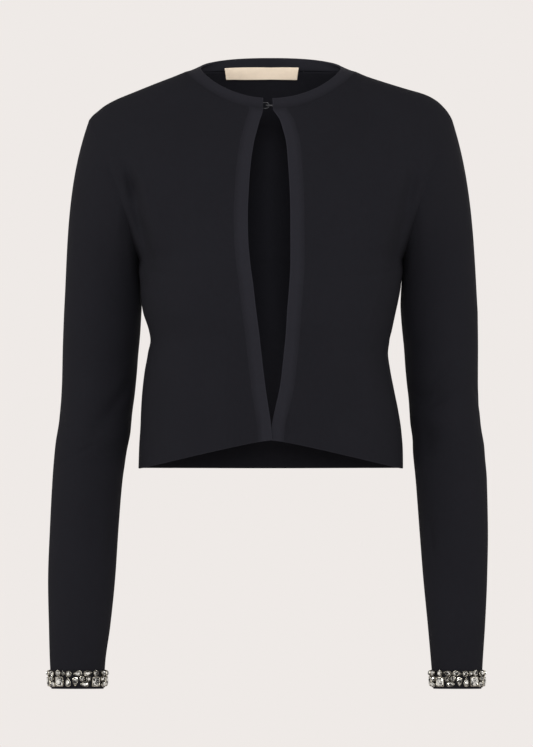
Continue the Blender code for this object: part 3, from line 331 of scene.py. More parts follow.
def smooth(at, knots, values):
    """A cubic through the knots that never overshoots: each slope is the harmonic mean of its
    neighbours, or level where they turn."""
    order = np.argsort(knots)
    knots, values = knots[order], values[order]
    at = np.clip(at, knots[0], knots[-1])
    step = np.diff(knots)
    rise = np.diff(values) / step
    slope = np.zeros_like(values)
    product = rise[:-1] * rise[1:]
    total = rise[:-1] + rise[1:]
    same = product > 0
    slope[1:-1][same] = 2 * product[same] / total[same]
    slope[0], slope[-1] = rise[0], rise[-1]
    k = np.clip(np.searchsorted(knots, at, side="right") - 1, 0, len(step) - 1)
    t = (at - knots[k]) / step[k]
    return ((1 + 2 * t) * (1 - t) ** 2 * values[k] + t * (1 - t) ** 2 * step[k] * slope[k]
            + t ** 2 * (3 - 2 * t) * values[k + 1] + t ** 2 * (t - 1) * step[k] * slope[k + 1])


def read(rows, column, at, by="height"):
    return smooth(at, rows[by], rows[column])


def unit(vectors):
    return vectors / np.maximum(np.linalg.norm(vectors, axis=-1, keepdims=True), 1e-12)


def shoulder_height(x):
    x = np.asarray(x, float)
    left = read(SHOULDER, "left_height", np.abs(x), by="across")
    right = read(SHOULDER, "right_height", np.abs(x), by="across")
    return np.where(x > 0, left, right)


def folds(x, z, side):
    """Sum of soft humps and troughs, each a bell across times a bell along."""
    total = np.zeros_like(x)
    for rows in (FOLDS, CREASES):
        for row in np.flatnonzero(rows["side"] == side):
            down = rows["height"][row] - z
            across = x - rows["across"][row] - rows["lean"][row] * down
            total += rows["rise"][row] * np.exp(
                -(across / rows["half_width"][row]) ** 2 - (down / rows["half_length"][row]) ** 2)
    return total


def torso(x, z, side):
    """Point of the torso's outer skin: depth = table depth x superellipse across x round arch
    under the shoulder line, so that front and back meet on that line and on the side seams."""
    x, z = np.broadcast_arrays(np.asarray(x, float), np.asarray(z, float))
    across = np.abs(x - read(TORSO, "middle", z)) / read(TORSO, "half_width", z)
    fullness = (1 - np.minimum(across, 1) ** SECTION_POWER) ** (1 / SECTION_POWER)
    drop = np.maximum(shoulder_height(x) - z, 0)
    reach = np.minimum(drop / (FRONT_ARCH if side == FRONT else BACK_ARCH), 1)
    arch = np.sqrt(1 - (1 - reach) ** 2)
    depth = read(TORSO, "front" if side == FRONT else "back", z) + folds(x, z, side)
    y = read(TORSO, "side", z) + side * depth * fullness * arch
    return np.stack([x, y, z], axis=-1)


def turn(x, z):
    """The angle round a torso section at which x lies, from -90 to 90 degrees, in radians."""
    share = (x - read(TORSO, "middle", z)) / read(TORSO, "half_width", z)
    return np.arcsin(np.clip(share, -1, 1))


def hem_height(x):
    """The fronts' hem rises from the side seam to the opening on a slightly hollow line."""
    share = np.clip(np.abs(x) / HEM_HALF_WIDTH, 0, 1)
    return HEM_FRONT + (HEM_SIDE - HEM_FRONT) * share ** HEM_CURVE


def opening(z, hand):
    return read(OPENING, "wearer_" + SIDE_NAMES[hand], z)


def neck_seam_height(x, side):
    curve = (1 - np.clip(np.abs(x) / NECK_SEAM, 0, 1) ** 2) ** NECK_SEAM_CURVE
    rise = NECK_SEAM_RISE if side == BACK else -NECK_SEAM_DROP
    return shoulder_height(NECK_SEAM) + rise * curve


def neck_strip(seam_x, edge_x, side, share):
    """Points of the neck band, share of the way from its seam on the torso to its free edge.
    Seen from above the free edge is half an ellipse in front and half an ellipse behind."""
    rest = 1 - np.clip(np.abs(edge_x) / NECK_INSIDE, 0, 1) ** 2
    if side == FRONT:
        depth, height = NECK_FRONT, -NECK_DROP * rest ** NECK_FRONT_CURVE
    else:
        depth, height = NECK_BACK, NECK_RISE * rest ** NECK_BACK_CURVE
    edge = np.stack([edge_x, side * depth * np.sqrt(rest), height], axis=-1)
    seam = torso(seam_x, neck_seam_height(seam_x, side), side)
    share = np.asarray(share, float)[:, None, None]
    return (1 - share) * seam + share * edge


def arm_share(even):
    """Steps from 0, the underarm, to 1, the shoulder, that grow closer towards the shoulder."""
    even = np.clip(even, 0, 1)
    return even + ROW_CROWDING * np.sin(pi * even)


def armhole(share, side):
    """x and z along the armhole seam; share runs evenly from 0, the underarm, to 1."""
    x, z = ARMHOLE["front" if side == FRONT else "back"], ARMHOLE["height"]
    steps = np.linalg.norm(np.diff(torso(x, z, side), axis=0), axis=1)
    knots = np.concatenate([[0], np.cumsum(steps)])
    return smooth(share * knots[-1], knots, x), smooth(share * knots[-1], knots, z)


def side_line(up, side):
    """(turn, height) up the side seam and the armhole for the wearer's left. up is 0 at the
    hem, LOW_PART at the underarm and 1 at the shoulder tip."""
    low = np.minimum(up / LOW_PART, 1)
    arm_x, arm_z = armhole(arm_share((up - LOW_PART) / (1 - LOW_PART)), side)
    below = up <= LOW_PART
    z = np.where(below, HEM_SIDE + (UNDERARM - HEM_SIDE) * low, arm_z)
    return np.stack([np.where(below, pi / 2, turn(arm_x, z)), z], axis=-1)


def band_seam(up, hand):
    """x and z of the seam between a front and its band, from the hem up to the neck band."""
    hem = hem_height(opening(HEM_FRONT, hand) + hand * FRONT_BAND)
    low = np.minimum(up / LOW_PART, 1)
    high = arm_share((up - LOW_PART) / (1 - LOW_PART))
    top = neck_seam_height(opening(NECK_SEAM_END, hand) + hand * FRONT_BAND, FRONT)
    z = hem + (FRONT_TURN - hem) * low + (top - FRONT_TURN) * high
    return opening(z, hand) + hand * FRONT_BAND, z


def coons(bottom, top, first, last, across, up):
    """Fill four edge lines of (turn, height) with a smooth grid: the sum of the two ruled
    surfaces less the one through the corners. Rows below the underarm keep the shape of the
    hem, and those above it turn gradually into the top edge."""
    u = across[None, :, None]
    v = arm_share((up - LOW_PART) / (1 - LOW_PART))[:, None, None] ** TOP_TURN
    return ((1 - v) * bottom[None] + v * top[None] + (1 - u) * first[:, None] + u * last[:, None]
            - (1 - u) * (1 - v) * bottom[0] - u * (1 - v) * bottom[-1]
            - (1 - u) * v * top[0] - u * v * top[-1])


def on_torso(grid, side):
    """Torso points of a grid of (turn, height), a little fuller at the sides under the arm."""
    angle, z = grid[..., 0], grid[..., 1]
    x = read(TORSO, "middle", z) + read(TORSO, "half_width", z) * np.sin(angle)
    points = torso(x, z, side)
    near = np.exp(-((z - SWELL_HEIGHT) / SWELL_REACH) ** 2)
    points[..., 0] += SWELL * np.sin(angle) ** SWELL_POWER * near
    return points


def lap(points, hand):
    """The wearer's right front lies over the left one where they meet above the hem: each
    moves half a step out or in, near its edge and below the point where the edges meet."""
    x, z = points[..., 0], points[..., 2]
    near = np.exp(-(x / LAP_HALF_WIDTH) ** 2) / (1 + np.exp((z - LAP_TOP) / LAP_BLEND))
    points[..., 1] += hand * LAP_STEP * near
    return points


def neck_line(share, start, end):
    """x values along a neckline, as even turns round the neck."""
    first, last = np.arcsin(start / NECK_SEAM), np.arcsin(end / NECK_SEAM)
    return NECK_SEAM * np.sin(first + (last - first) * share)


def front_skin(hand, across, up):
    """Columns run from the front band to the side, and rows from the hem to the shoulder."""
    seam_x, seam_z = band_seam(up, hand)
    hem_angle = turn(seam_x[0], seam_z[0]) * (1 - across) + hand * pi / 2 * across
    hem_z = hem_height(HEM_HALF_WIDTH * np.sin(hem_angle))
    hem_z[0] = seam_z[0]
    neck_x = neck_line(np.minimum(across / NECK_PART, 1), seam_x[-1], hand * NECK_SEAM)
    out = (across - NECK_PART) / (1 - NECK_PART)
    shoulder_x = hand * (NECK_SEAM + (SHOULDER_TIP - NECK_SEAM) * out)
    on_neck = across < NECK_PART
    top_x = np.where(on_neck, neck_x, shoulder_x)
    top_z = np.where(on_neck, neck_seam_height(top_x, FRONT), shoulder_height(top_x))
    side = side_line(up, FRONT) * (hand, 1)
    grid = coons(np.stack([hem_angle, hem_z], axis=-1),
                 np.stack([turn(top_x, top_z), top_z], axis=-1),
                 np.stack([turn(seam_x, seam_z), seam_z], axis=-1), side, across, up)
    return lap(on_torso(grid, FRONT), hand)


def front_band_skin(hand, across, up):
    """Columns run from the opening's edge to the seam, with the same rows as the front."""
    seam_x, seam_z = band_seam(up, hand)
    edge_x = opening(seam_z, hand)
    edge_z = seam_z.copy()
    hem_gap = (hem_height(edge_x[0]) - seam_z[0]) * np.exp(-up / BAND_CORNER)
    top_gap = neck_seam_height(edge_x[-1], FRONT) - seam_z[-1]
    top_gap = top_gap * np.exp((up - 1) / BAND_CORNER)
    edge_z += hem_gap + top_gap
    x = edge_x[:, None] * (1 - across) + seam_x[:, None] * across
    z = edge_z[:, None] * (1 - across) + seam_z[:, None] * across
    return lap(torso(x, z, FRONT), hand)


def back_skin(across, up):
    """Columns run from the wearer's right to left, and rows from the hem to the shoulders."""
    hem_angle = pi * (across - 0.5)
    from_middle = 2 * (across - 0.5)
    on_neck = np.abs(from_middle) < BACK_NECK_PART
    round_neck = np.clip(from_middle / BACK_NECK_PART, -1, 1) / 2 + 0.5
    neck_x = neck_line(round_neck, -NECK_SEAM, NECK_SEAM)
    out = (np.abs(from_middle) - BACK_NECK_PART) / (1 - BACK_NECK_PART)
    shoulder_x = np.sign(from_middle) * (NECK_SEAM + (SHOULDER_TIP - NECK_SEAM) * out)
    top_x = np.where(on_neck, neck_x, shoulder_x)
    top_z = np.where(on_neck, neck_seam_height(top_x, BACK), shoulder_height(top_x))
    side = side_line(up, BACK)
    grid = coons(np.stack([hem_angle, HEM_SIDE - HEM_BACK_DIP * np.cos(hem_angle)], axis=-1),
                 np.stack([turn(top_x, top_z), top_z], axis=-1),
                 side * (-1, 1), side, across, up)
    return on_torso(grid, BACK)


def neck_band_skin(round_neck, share):
    """Columns run from the wearer's right front edge (-2) over the right shoulder (-1), the
    middle of the back (0) and the left shoulder (1) to the left front edge (2). Rows run from
    the seam to the free edge."""
    skins = []
    for hand in (WEARER_RIGHT, WEARER_LEFT):
        seam_end, edge_end = opening(np.array([NECK_SEAM_END, NECK_EDGE_END]), hand)
        near = round_neck[round_neck * hand >= 1] * hand
        seam = neck_line(2 - near, seam_end, hand * NECK_SEAM)
        edge = edge_end + (seam - seam_end) * (hand * NECK_INSIDE - edge_end) / (
            hand * NECK_SEAM - seam_end)
        skins.append(neck_strip(seam, edge, FRONT, share))
    seam = neck_line(round_neck[np.abs(round_neck) < 1] / 2 + 0.5, -NECK_SEAM, NECK_SEAM)
    skins.insert(1, neck_strip(seam, seam * NECK_INSIDE / NECK_SEAM, BACK, share))
    return np.concatenate(skins, axis=1)


def sleeve_ring(hand, angle, z):
    """Level ring of the sleeve: an ellipse, with the sleeve's folds added to its size."""
    name = SIDE_NAMES[hand]
    inner, outer = read(SLEEVE, name + "_inner", z), read(SLEEVE, name + "_outer", z)
    rise = np.zeros(np.broadcast(angle, z).shape)
    for rows in (SLEEVE_FOLDS, SLEEVE_CREASES):
        for row in np.flatnonzero(rows["hand"] == hand):
            down = rows["height"][row] - z
            across = np.degrees(angle) - rows["angle"][row] - rows["lean"][row] * down
            across = (across + 180) % 360 - 180
            rise += rows["rise"][row] * np.exp(
                -(across / rows["half_angle"][row]) ** 2 - (down / rows["half_length"][row]) ** 2)
    x = hand * ((inner + outer) / 2 + ((outer - inner) / 2 + rise) * np.cos(angle))
    y = read(SLEEVE, "middle", z) - (read(SLEEVE, "half_depth", z) + rise) * np.sin(angle)
    return np.stack(np.broadcast_arrays(x, y, z), axis=-1)


def tilted(angle, z):
    """Height at an angle of the sleeve's ring that lies at z: rings tilt with the forearm."""
    share = np.clip((TILT_START - z) / (TILT_START - CUFF), 0, 1)
    return z + CUFF_TILT * share * np.sin(angle)


def armhole_ring(hand, around):
    """The armhole seam from the shoulder tip (0) down the front to the underarm (1) and up the
    back (2)."""
    front_x, front_z = armhole(arm_share(1 - around), FRONT)
    back_x, back_z = armhole(arm_share(around - 1), BACK)
    down = (around <= 1)[:, None]
    return np.where(down, torso(hand * front_x, front_z, FRONT),
                    torso(hand * back_x, back_z, BACK))


def sleeve_skin(hand, around, cap_share, heights):
    """Columns run round the sleeve and rows down it. Above the biceps every column is a
    Hermite curve from the armhole seam to the biceps ring; below it the rings are level."""
    ring = armhole_ring(hand, around)
    degrees = around * 180
    angle = around * pi
    biceps = sleeve_ring(hand, angle, np.full(len(ring), BICEPS))
    chord = np.linalg.norm(biceps - ring, axis=1)[:, None]
    away = np.stack([hand * read(SLEEVE_START, SIDE_NAMES[hand] + "_out", degrees, by="angle"),
                     read(SLEEVE_START, "back", degrees, by="angle"),
                     -read(SLEEVE_START, "down", degrees, by="angle")], axis=-1) * chord
    arrive = np.array([SLEEVE_ARRIVE * hand, 0.0, -1.0]) * chord
    t = cap_share[:, None, None]
    cap = ((1 + 2 * t) * (1 - t) ** 2 * ring + t * (1 - t) ** 2 * away
           + t ** 2 * (3 - 2 * t) * biceps + t ** 2 * (t - 1) * arrive)
    lower = sleeve_ring(hand, angle, tilted(angle, heights[:, None]))
    return np.concatenate([cap, lower[1:]])


def cuff_point(hand, share, up, out):
    """A point beside the cuff: share of the way round, mm above the tape's lower edge, and mm
    outside the sleeve."""
    angle = 2 * pi * np.asarray(share, float)
    z = tilted(angle, CUFF + STRIP_ABOVE_CUFF + np.asarray(up, float))
    step = 1e-3
    along = sleeve_ring(hand, angle + step, z) - sleeve_ring(hand, angle - step, z)
    rise = sleeve_ring(hand, angle, z + step) - sleeve_ring(hand, angle, z - step)
    return sleeve_ring(hand, angle, z) + unit(-hand * np.cross(along, rise)) * np.asarray(
        out, float)[..., None]


def stone_outline(sides, turns):
    """Outline of a stone one unit long and wide. turns run from 0 to 1 round it. A square (4)
    is a superellipse with its points drawn towards the corners, a drop (5) a circle whose
    breadth is times the sine of half the turn, and any other stone is a circle."""
    angle = 2 * pi * turns
    if sides == 4:
        angle = angle + SQUARE_DRAW * np.sin(4 * angle)
        size = np.cos(angle) ** SQUARE_POWER + np.sin(angle) ** SQUARE_POWER
        size = size ** (-1 / SQUARE_POWER)
        return np.stack([np.cos(angle) * size, np.sin(angle) * size], axis=-1) / 2
    narrow = np.abs(np.sin(angle / 2)) / DROP_WIDEST if sides == 5 else 1.0
    return np.stack([np.cos(angle), np.sin(angle) * narrow], axis=-1) / 2


def cuff_stones(hand, rings, corners):
    """Rings of points for every stone of a cuff, as stones x rings x corners x 3. A ring is its
    spread, its height over the tape and its turn in steps between corners. Each stone is flat,
    in the plane that touches the tape under its middle."""
    middle = ((np.arange(STRIP_REPEATS)[:, None] + STONES["along"]) / STRIP_REPEATS).ravel()
    row = {key: np.tile(values, STRIP_REPEATS) for key, values in STONES.items()}
    on_tape = np.full(len(middle), SEAM_GAP + STRIP_CLOTH)
    foot = cuff_point(hand, middle, row["up"], on_tape)
    out = unit(foot - cuff_point(hand, middle, row["up"], 0 * on_tape))
    above = unit(cuff_point(hand, middle, row["up"] + 0.1, on_tape) - foot)
    aside = unit(np.cross(above, out)) * -hand
    spread, height, twist = np.array(rings).T
    stones = []
    for k in range(len(middle)):
        start = 0.5 if row["sides"][k] == 4 else 0.0
        turns = (np.arange(corners)[None] + start + twist[:, None]) / corners
        flat = stone_outline(row["sides"][k], turns) * (row["length"][k], row["breadth"][k])
        flat = flat * spread[:, None, None]
        lean = np.radians(row["turn"][k] - (45 if row["sides"][k] == 4 else 0))
        x = flat[..., 0] * np.cos(lean) - flat[..., 1] * np.sin(lean)
        y = flat[..., 0] * np.sin(lean) + flat[..., 1] * np.cos(lean)
        stones.append(foot[k] + x[..., None] * aside[k] + y[..., None] * above[k]
                      + height[:, None, None] * out[k])
    return np.array(stones)


def label_skin(across, up):
    """The label's front: from the back, over the seam, onto the neck band. Each column is a
    quadratic curve, moved inwards by what lies behind it. The ends are turned under."""
    width = LABEL_WIDTH * (LABEL_LOW_WIDTH + LABEL_WIDENING * up[:, None])
    x = LABEL_MIDDLE + width * (across - 0.5)
    seam_z = neck_seam_height(x, BACK)
    seam, low = torso(x, seam_z, BACK), torso(x, np.full_like(x, LABEL_LOW), BACK)
    edge = neck_strip(x * NECK_SEAM / NECK_INSIDE, x, BACK, [1.0])
    high = seam + (edge - seam) * LABEL_ON_BAND
    t = up[:, None, None]
    base = (1 - t) ** 2 * low + 2 * t * (1 - t) * seam + t ** 2 * high
    normals = skin_normals(base, False)
    normals = normals * -np.sign(normals[..., 1:2])
    from_end = LABEL_WIDTH * np.minimum(across, 1 - across)
    turned = LABEL_TURN_RISE / (1 + np.exp((from_end - LABEL_TURN) / LABEL_TURN_RISE))
    return base + normals * (BAND_REST + turned)[None, :, None]


def arc(middle, first, second, start, end, count):
    """Points of an arc: middle + first x cosine + second x sine."""
    turns = np.linspace(start, end, count)[:, None]
    return np.array(middle) + np.cos(turns) * np.array(first) + np.sin(turns) * np.array(second)


def eye_path():
    """A loop with straight legs, which end in small rings for the thread."""
    side = []
    for up in (-1, 1):
        foot = arc((EYE_ROOT + EYE_FOOT, 0, up * (EYE_LOOP - EYE_FOOT)), (0, 0, up * EYE_FOOT),
                   (-EYE_FOOT, 0, 0), 1.8 * pi, 0, 19)
        side.append(foot if up < 0 else foot[::-1])
    loop = arc((EYE_TIP - EYE_LOOP, 0, 0), (0, 0, -EYE_LOOP), (EYE_LOOP, 0, 0), 0, pi, 25)
    return np.concatenate([side[0], loop, side[1]])


def hook_path():
    """A doubled wire: ring, shank, bend, back to the tip, round it, and the same again."""
    half = HOOK_WIRE * HOOK_PAIR
    bend = arc((HOOK_TIP, 0, 0), (0, HOOK_MOUTH, 0), (-HOOK_MOUTH, 0, 0), 0, pi, 17)
    ring = arc((HOOK_ROOT - HOOK_FOOT, HOOK_MOUTH, 0), (0, 0, -HOOK_FOOT), (HOOK_FOOT, 0, 0),
               -0.2 * pi, 1.55 * pi, 19)[::-1]
    one = np.concatenate([ring + (0, 0, half + HOOK_FOOT), bend + (0, 0, half)])
    tip = arc((HOOK_END, -HOOK_MOUTH, 0), (0, 0, half), (half, 0, 0), 0.1 * pi, 0.9 * pi, 7)
    return np.concatenate([one, tip, (one * (1, 1, -1))[::-1]])


# ---------------------------------------------------------------- meshes

def steps(thickness, parts, length):
    """Shares from 0 to 1 in even parts of a length in mm, with more of them close to both ends,
    where a cloth of that thickness is half round."""
    near = thickness / 2 * NEAR_EDGE / length
    even = np.linspace(0, 1, parts + 1)
    clear = (even > near[-1] * CLEAR_OF_EDGE) & (even < 1 - near[-1] * CLEAR_OF_EDGE)
    return np.unique(np.concatenate([even[clear | (even == 0) | (even == 1)], near, 1 - near]))


def reach(points, axis):
    """Distance along a grid's rows or columns from their start, and from their end."""
    gaps = np.linalg.norm(np.diff(points, axis=axis), axis=-1)
    start = np.cumsum(gaps, axis=axis)
    pad = [(0, 0), (0, 0)]
    pad[axis] = (1, 0)
    start = np.pad(start, pad)
    return start, np.take(start, [-1], axis=axis) - start


def skin_normals(points, closed):
    """Unit normals of a grid, from the steps along its rows and columns."""
    if closed:
        along = np.roll(points, -1, axis=1) - np.roll(points, 1, axis=1)
    else:
        along = np.gradient(points, axis=1)
    return unit(np.cross(along, np.gradient(points, axis=0)))


def round_off(distance, thickness):
    """The height of a half round edge: 0 at the edge and 1 from half a thickness inwards."""
    return np.sqrt(1 - (1 - np.minimum(distance / (thickness / 2), 1)) ** 2)


def shell(name, skin, outside, thickness, materials, free, closed=False):
    """A closed shell of cloth under a grid of skin points. Both its faces run half round to the
    cloth's middle at a free edge. At a sewn edge the inner face runs up to the skin, where the
    next piece begins. outside is a point on the outer side of the skin's middle, or None where
    the skin is closed round its own axis. The attributes cloth and edges give each point's place
    on the cloth and its distance from sewn and free edges."""
    rows, columns = skin.shape[:2]
    normals = skin_normals(skin, closed)
    centre = skin[rows // 2, columns // 2]
    away = centre - skin[rows // 2].mean(axis=0) if outside is None else outside - centre
    if np.dot(normals[rows // 2, columns // 2], away) < 0:
        normals = -normals
    distances = dict(zip(EDGES, [*reach(skin, 0)] + ([] if closed else [*reach(skin, 1)])))
    far = np.full((rows, columns), FAR_FROM_EDGE)
    sewn = np.minimum.reduce([far] + [gap for edge, gap in distances.items() if edge not in free])
    hemmed = np.minimum.reduce([far] + [gap for edge, gap in distances.items() if edge in free])
    rounded = np.ones((rows, columns))
    for edge in free:
        rounded = rounded * round_off(distances[edge], thickness)
    outer = skin - normals * (thickness / 2 * (1 - rounded))[..., None]
    inner = outer - normals * (thickness * rounded * round_off(sewn, thickness))[..., None]
    at_edge = np.zeros((rows, columns), bool)
    at_edge[[0, -1]] = True
    if not closed:
        at_edge[:, [0, -1]] = True
    outer_index = np.arange(rows * columns).reshape(rows, columns)
    inner_index = outer_index.copy()
    inner_index[~at_edge] = rows * columns + np.arange((~at_edge).sum())
    vertices = np.concatenate([outer.reshape(-1, 3), inner[~at_edge]])
    across, across_end = reach(skin, 1)
    cloth = np.stack([across if closed else (across - across_end) / 2, reach(skin, 0)[0],
                      np.zeros((rows, columns))], axis=-1)
    edges = np.stack([sewn, hemmed, np.zeros((rows, columns))], axis=-1)
    outer_faces, inner_faces = quads(outer_index, closed), quads(inner_index, closed)[:, ::-1]
    first = outer_faces[len(outer_faces) // 2]
    corner = vertices[first]
    if np.dot(np.cross(corner[1] - corner[0], corner[2] - corner[0]),
              normals.reshape(-1, 3)[first[0]]) < 0:
        outer_faces, inner_faces = outer_faces[:, ::-1], inner_faces[:, ::-1]
    piece = put(name, vertices, np.concatenate([outer_faces, inner_faces]), materials,
                np.repeat([0, 1], [len(outer_faces), len(inner_faces)]))
    for attribute, values in (("cloth", cloth), ("edges", edges)):
        values = np.concatenate([values.reshape(-1, 3), values[~at_edge]])
        piece.data.attributes.new(attribute, "FLOAT_VECTOR", "POINT").data.foreach_set(
            "vector", (values * MM).astype(np.float32).ravel())
    return piece


def quads(index, closed=False):
    """Faces between the rows and columns of a grid of vertex numbers."""
    after = np.roll(index, -1, axis=1) if closed else index[:, 1:]
    here = index if closed else index[:, :-1]
    return np.stack([here[:-1], after[:-1], after[1:], here[1:]], axis=-1).reshape(-1, 4)


def put(name, vertices, faces, materials, which=None, soft=True):
    """Make a mesh of millimetre points an object that rides on the row's only body."""
    mesh = bpy.data.meshes.new(name)
    faces = faces.tolist() if hasattr(faces, "tolist") else faces
    mesh.from_pydata((vertices * MM).tolist(), [], faces)
    for made in materials:
        mesh.materials.append(made)
    if which is not None:
        mesh.polygons.foreach_set("material_index", which.astype(np.int32))
    if soft:
        mesh.shade_smooth()
    mesh.update()
    piece = bpy.data.objects.new(name, mesh)
    bpy.context.collection.objects.link(piece)
    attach(piece, "root")
    return piece


def wires(name, paths, thickness, material):
    """Round wires or threads along paths of millimetre points, in one curve object."""
    curve = bpy.data.curves.new(name, "CURVE")
    curve.dimensions = "3D"
    curve.bevel_depth = thickness / 2 * MM
    curve.bevel_resolution = 2
    curve.use_fill_caps = True
    for path in paths:
        spline = curve.splines.new("POLY")
        spline.points.add(len(path) - 1)
        spline.points.foreach_set("co", np.c_[path * MM, np.ones(len(path))].ravel())
        spline.use_smooth = True
    curve.materials.append(material)
    piece = bpy.data.objects.new(name, curve)
    bpy.context.collection.objects.link(piece)
    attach(piece, "root")
    return piece


def scatter(count, seed):
    """Numbers in 0 to 1 with no order to them: the fraction of a large sine."""
    return np.modf(np.abs(np.sin(np.arange(count) * 12.9898 + seed) * 43758.5453))[0]


def crystal_mesh(rings, hand):
    """Facets of cut stones: a girdle of quads, two rings of triangles that lean up and down in
    turn, and a table. With them, how bright each facet is painted, 0 to 1: a painted reflection."""
    count, _, corners = rings.shape[:3]
    index = np.arange(count * 4 * corners).reshape(count, 4, corners)
    after = np.roll(index, -1, axis=2)
    girdle = np.stack([index[:, 0], after[:, 0], after[:, 1], index[:, 1]], axis=-1)
    low = np.stack([index[:, 1], after[:, 1], index[:, 2]], axis=-1)
    low_up = np.stack([after[:, 1], after[:, 2], index[:, 2]], axis=-1)
    high = np.stack([index[:, 2], after[:, 2], after[:, 3]], axis=-1)
    high_up = np.stack([index[:, 2], after[:, 3], index[:, 3]], axis=-1)
    faces = [part.reshape(-1, part.shape[-1])[:, ::hand].tolist()
             for part in (girdle, low, low_up, high, high_up)]
    faces.append(index[:, 3, ::hand].tolist())
    faces = sum(faces, [])
    return faces, scatter(len(faces), 1.7 + hand).astype(np.float32)


def claw_mesh(hand):
    """Claws that hold the stones: four to a stone, each a narrow band bent over the crown."""
    both = np.stack([cuff_stones(hand, np.array(CLAW_RINGS) * (1, 1, way), CUP_CORNERS)[
        :, :, CLAW_FIRST::CLAW_EVERY] for way in (-1, 1)], axis=-2)
    both = both.transpose(0, 2, 1, 3, 4).reshape(-1, len(CLAW_RINGS), 2, 3)
    index = np.arange(both.size // 3).reshape(-1, len(CLAW_RINGS), 2)
    after = np.roll(index, -1, axis=1)
    band = np.stack([index[..., 0], index[..., 1], after[..., 1], after[..., 0]], axis=-1)
    ends = [index[:, ::-1, 0], index[:, :, 1]]
    faces = [part.reshape(-1, part.shape[-1])[:, ::hand].tolist() for part in (band, *ends)]
    return both.reshape(-1, 3), sum(faces, [])


# ---------------------------------------------------------------- materials

class Signal:
    """A value in a shader. Arithmetic on it adds Math nodes."""

    def __init__(self, finish, socket):
        self.finish, self.socket = finish, socket

    def math(self, operation, *others):
        return self.finish.node("ShaderNodeMath", {"operation": operation},
                                dict(enumerate((self, *others))))[0]

    def __add__(self, other):
        return self.math("ADD", other)

    def __sub__(self, other):
        return self.math("SUBTRACT", other)

    def __rsub__(self, other):
        return self.finish.node("ShaderNodeMath", {"operation": "SUBTRACT"},
                                {0: other, 1: self})[0]

    def __mul__(self, other):
        return self.math("MULTIPLY", other)

    def __truediv__(self, other):
        return self.math("DIVIDE", other)

    __radd__ = __add__
    __rmul__ = __mul__

    def sin(self):
        return self.math("SINE")

    def wave(self):
        """|2 frac(x) - 1|, a zigzag from 1 down to 0 and back."""
        return (self.math("FRACT") * 2 - 1).math("ABSOLUTE")

    def near(self, width):
        """1 where the value is 0, falling on a curve to 0 where it is width or more."""
        rest = (1 - self / width).math("MAXIMUM", 0)
        return rest * rest


class Finish:
    """One material: its principled shader, and nodes that feed it."""

    def __init__(self, name, colour, roughness, **constants):
        self.material = bpy.data.materials.new(name)
        self.material.use_nodes = True
        self.tree = self.material.node_tree
        self.shader = self.tree.nodes["Principled BSDF"]
        constants = {"Base Color": (*colour, 1), "Roughness": roughness, **constants}
        for socket, value in constants.items():
            self.shader.inputs[socket].default_value = value

    def node(self, kind, settings=None, sockets=None):
        """Add a node of any kind and return its outputs; settings are set before sockets."""
        made = self.tree.nodes.new(kind)
        for key, value in (settings or {}).items():
            if key == "stops":
                made.color_ramp.elements[0].position, made.color_ramp.elements[0].color = value[0]
                made.color_ramp.elements[1].position, made.color_ramp.elements[1].color = value[1]
            else:
                setattr(made, key, value)
        for key, value in (sockets or {}).items():
            if isinstance(value, Signal):
                self.tree.links.new(value.socket, made.inputs[key])
            else:
                made.inputs[key].default_value = value
        return [Signal(self, socket) for socket in made.outputs]

    def feed(self, socket, value):
        self.tree.links.new(value.socket, self.shader.inputs[socket])

    def cloth(self, attribute="cloth"):
        """Place on the cloth in mm: across and along it, or from its sewn and free edges."""
        vector = self.node("ShaderNodeAttribute", {"attribute_name": attribute})[1]
        parts = self.node("ShaderNodeSeparateXYZ", None, {0: vector})
        return [part * (1 / MM) for part in parts[:2]]

    def mix(self, share, first, second):
        """Colour between two colours."""
        return self.node("ShaderNodeMix", {"data_type": "RGBA"},
                         {0: share, 6: (*first, 1), 7: (*second, 1)})[2]

    def noise(self, size, detail=2.0):
        """Soft noise in 0 to 1, size in metres, on object coordinates."""
        place = self.node("ShaderNodeTexCoord")[3]
        return self.node("ShaderNodeTexNoise", None,
                         {"Vector": place, "Scale": 1 / size, "Detail": detail})[0]

    def bump(self, height, depth):
        """Raise the surface by height (0 to 1) times depth, in metres."""
        self.feed("Normal", self.node("ShaderNodeBump", None, {"Height": height, "Strength": 1.0,
                                                              "Distance": depth})[0])


def between(finish, colour, share, dark, bright):
    """Feed the base colour with tones from dark to bright times the colour."""
    finish.feed("Base Color", finish.mix(share, tuple(dark * part for part in colour),
                                         tuple(bright * part for part in colour)))


